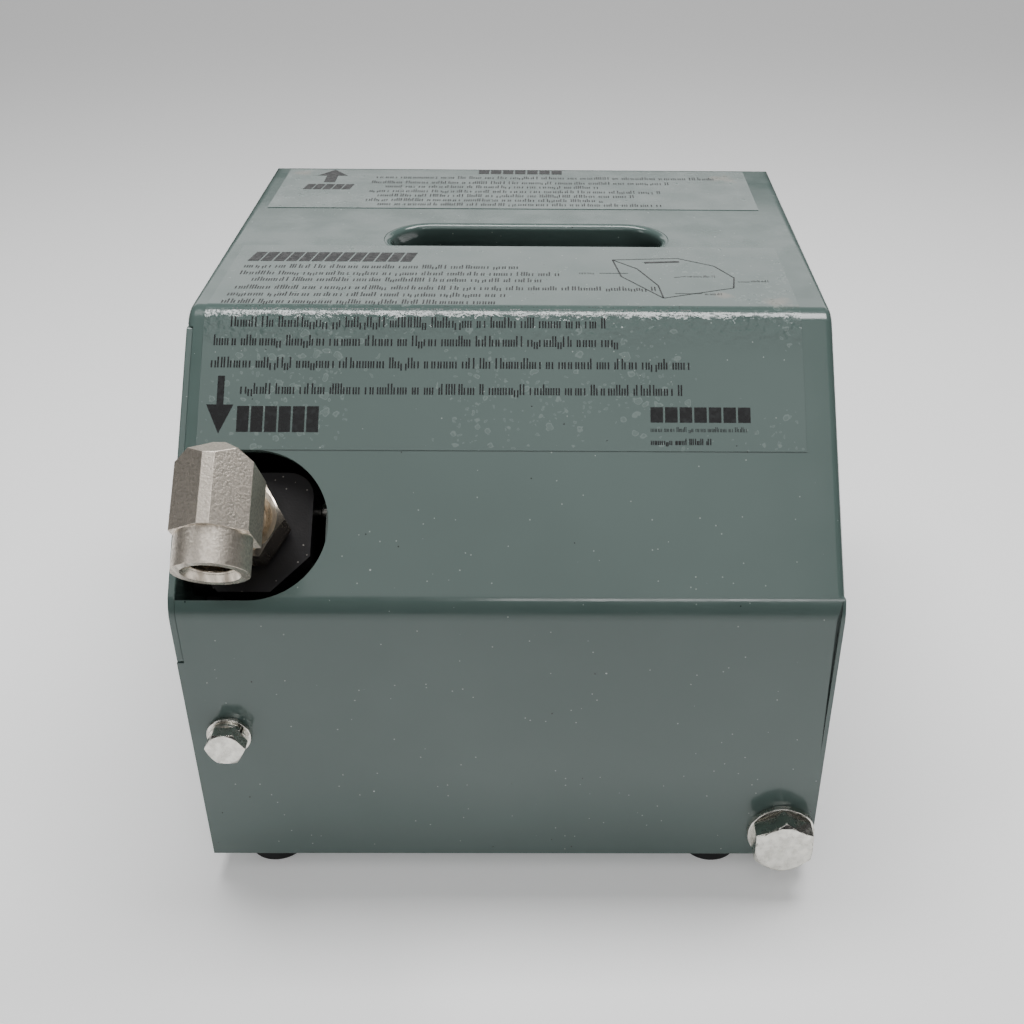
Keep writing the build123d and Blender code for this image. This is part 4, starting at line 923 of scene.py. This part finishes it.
sketch_box(art, 29.7, 68.8, 35.5, 33.0, 0.45)
wrap(art, FILM + 0.004)
bmesh.ops.recalc_face_normals(art, faces=art.faces)
for face in art.faces:
    if face.normal.dot(Vector((0, -1, 1))) < 0:
        face.normal_flip()
print("print blocks", len(art.faces))
print_piece = as_object(art, "film_print")
ink_body = print_piece.modifiers.new("thickness", "SOLIDIFY")
ink_body.thickness, ink_body.offset = 0.012 * MM, 1.0
fit(print_piece, ink, "housing", "clear_film")

# %% [markdown]
# ## Springs and threads
# A coil is one small circle spun round an axis with a rise at every step. The same move with a
# notch instead of a circle gives the ridges inside a threaded port. Ridges here are rings, not a
# helix: at this size the eye can't tell, and rings close neatly.

# %% Return spring
def coil(name, foot, radius, wire, height, turns):
    """A closed wire coil standing on foot."""
    bm = bmesh.new()
    ring = bmesh.ops.create_circle(bm, cap_ends=True, segments=12, radius=wire * MM)["verts"]
    turn = Matrix.Rotation(radians(90), 4, "X")
    start = Matrix.Translation(foot + Vector((radius * MM, 0, 0)))
    bmesh.ops.transform(bm, matrix=start @ turn, verts=ring)
    steps = turns * 32
    rise = (0, 0, height * MM / steps)
    bmesh.ops.spin(bm, geom=bm.faces[:], cent=foot, axis=(0, 0, 1), dvec=rise,
                   angle=2 * pi * turns, steps=steps, use_merge=False)
    bmesh.ops.remove_doubles(bm, verts=bm.verts, dist=1e-7)
    bmesh.ops.recalc_face_normals(bm, faces=bm.faces)
    crisp(bm, 50)
    return as_object(bm, name)


def fitted_coil(name, cad_node, wire, turns, body):
    """A coil that fills a CAD spring's box."""
    low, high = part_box(cad_node)
    middle = (low + high) / 2
    foot = Vector((middle.x, middle.y, low.z + wire * MM))
    radius = (high.x - low.x) / MM / 2 - wire - 0.05
    height = (high.z - low.z) / MM - 2 * wire
    made = coil(name, foot, radius, wire, height, turns)
    fit(made, spring_steel, body, "spring_steel", cad_node)
    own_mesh(made)
    print(name, "radius", round(radius, 2), "height", round(height, 2))


# The perch tilts as it comes down, so the return spring shortens by a little more than its
# travel. The valve spring is so short that the full stroke presses it thinner than its wire.
fitted_coil("return_spring_coil", "return_spring", 1.35, 7, "housing")
fitted_coil("valve_spring_coil", "valve_spring", 0.35, 5, "housing")


# %% Threads in the two ports
PITCH = 1.41
CREST = 0.55


def thread(name, mouth, outward, radius, length):
    """Ring-shaped ridges that line a bore, starting at its mouth and going in."""
    bm = bmesh.new()
    axis = Vector(outward).normalized()
    side = axis.orthogonal().normalized()
    ridges = int(length / PITCH)
    points = [(i * PITCH / 2, radius + 0.02 - (i % 2) * CREST) for i in range(2 * ridges + 1)]
    verts = [bm.verts.new(mouth - axis * d * MM + side * r * MM) for d, r in points]
    edges = [bm.edges.new(pair) for pair in zip(verts, verts[1:])]
    bmesh.ops.spin(bm, geom=edges, cent=mouth, axis=axis, angle=2 * pi, steps=64, use_merge=True)
    bmesh.ops.remove_doubles(bm, verts=bm.verts, dist=1e-7)
    bmesh.ops.recalc_face_normals(bm, faces=bm.faces)
    crisp(bm, 80)
    made = as_object(bm, name)
    wall = made.modifiers.new("wall", "SOLIDIFY")
    wall.thickness, wall.offset = 0.05 * MM, 0.0
    return fit(made, stainless, "housing", "stainless")


OUTLET_MOUTH, OUTLET_THREAD = 6.0, 11.5
INLET_MOUTH, INLET_THREAD = 6.9, 13.5
outlet_mouth = outlet_middle + outlet_axis * OUTLET_MOUTH * MM
outlet_radius = mounts["outlet_port"]["dims"]["r_mm"]
thread("outlet_thread", outlet_mouth, outlet_axis, outlet_radius, OUTLET_THREAD)
inlet_axis = Vector(mounts["inlet_port"]["axis"])
inlet_mouth = Vector(mounts["inlet_port"]["pos_m"]) + inlet_axis * INLET_MOUTH * MM
inlet_radius = mounts["inlet_port"]["dims"]["r_mm"]
thread("inlet_thread", inlet_mouth, inlet_axis, inlet_radius, INLET_THREAD)

# %% [markdown]
# ## Floor and light
# A pale floor that glows faintly gives the plain look of a catalogue picture. Six soft lamps do
# most of the lighting: one overhead, one overhead and in front, a long one far in front, weak
# ones behind and at the left, and a wide one far behind, which the glossy top panel mirrors. The
# sky is almost black, and only slightly brighter towards the back.

# %% Floor
FLOOR_HALF = 3.0
FLOOR_GAP = 0.0001
FLOOR_GLOW = 0.22
bm = bmesh.new()
bmesh.ops.create_grid(bm, x_segments=1, y_segments=1, size=FLOOR_HALF)
bmesh.ops.translate(bm, verts=bm.verts, vec=(0, 0, cad_box[0].z - FLOOR_GAP))
floor = as_object(bm, "floor")
paper, tree, shader = finish_named("pale_paper", Roughness=0.9, Specular_IOR_Level=0.1)
shader.inputs["Base Color"].default_value = srgb(250, 250, 250)
shader.inputs["Emission Color"].default_value = (1, 1, 1, 1)
shader.inputs["Emission Strength"].default_value = FLOOR_GLOW
floor.data.materials.append(paper)


# %% Lamps
def lamp(name, place, aim, size, watts):
    """A soft rectangular lamp at place, turned towards aim."""
    data = bpy.data.lights.new(name, "AREA")
    data.shape, data.size, data.size_y, data.energy = "RECTANGLE", size[0], size[1], watts
    made = bpy.data.objects.new(name, data)
    made.location = place
    made.rotation_euler = (Vector(aim) - Vector(place)).to_track_quat("-Z", "Y").to_euler()
    bpy.context.scene.collection.objects.link(made)


lamp("rear_softbox", (0.0, 1.5, 1.0), (0, 0, 0.15), (2.4, 0.8), 1.0)
lamp("ceiling_panel", (0.05, 0.12, 0.87), (0.05, 0, 0.1), (0.8, 0.28), 9.5)
lamp("window", (0.5, -2.0, 1.5), (0, 0, 0.1), (1.3, 0.16), 5.5)
lamp("canopy", (0.0, -0.7, 1.2), (0, -0.06, 0.12), (1.1, 0.9), 3.2)
lamp("backdrop", (0.0, 2.6, 1.1), (0, 2.4, 0), (4.0, 1.2), 16)
lamp("left", (-0.9, -0.5, 0.6), (0, 0, 0.08), (0.3, 0.6), 1.5)
world = bpy.data.worlds.new("sky")
world.use_nodes = True
sky = world.node_tree
sky_way = node(sky, "ShaderNodeTexCoord").outputs["Generated"]
way = node(sky, "ShaderNodeSeparateXYZ", Vector=sky_way)
behind = maths(sky, "MULTIPLY_ADD", way.outputs[2], 0.5, way.outputs[1])
glow = ramp(sky, behind, -0.6, 1.1, 0.34, 1.15)
sky.links.new(glow, sky.nodes["Background"].inputs["Strength"])
bpy.context.scene.world = world

# %% Finish
print("cad", [tuple(round(v, 5) for v in c) for c in cad_box])
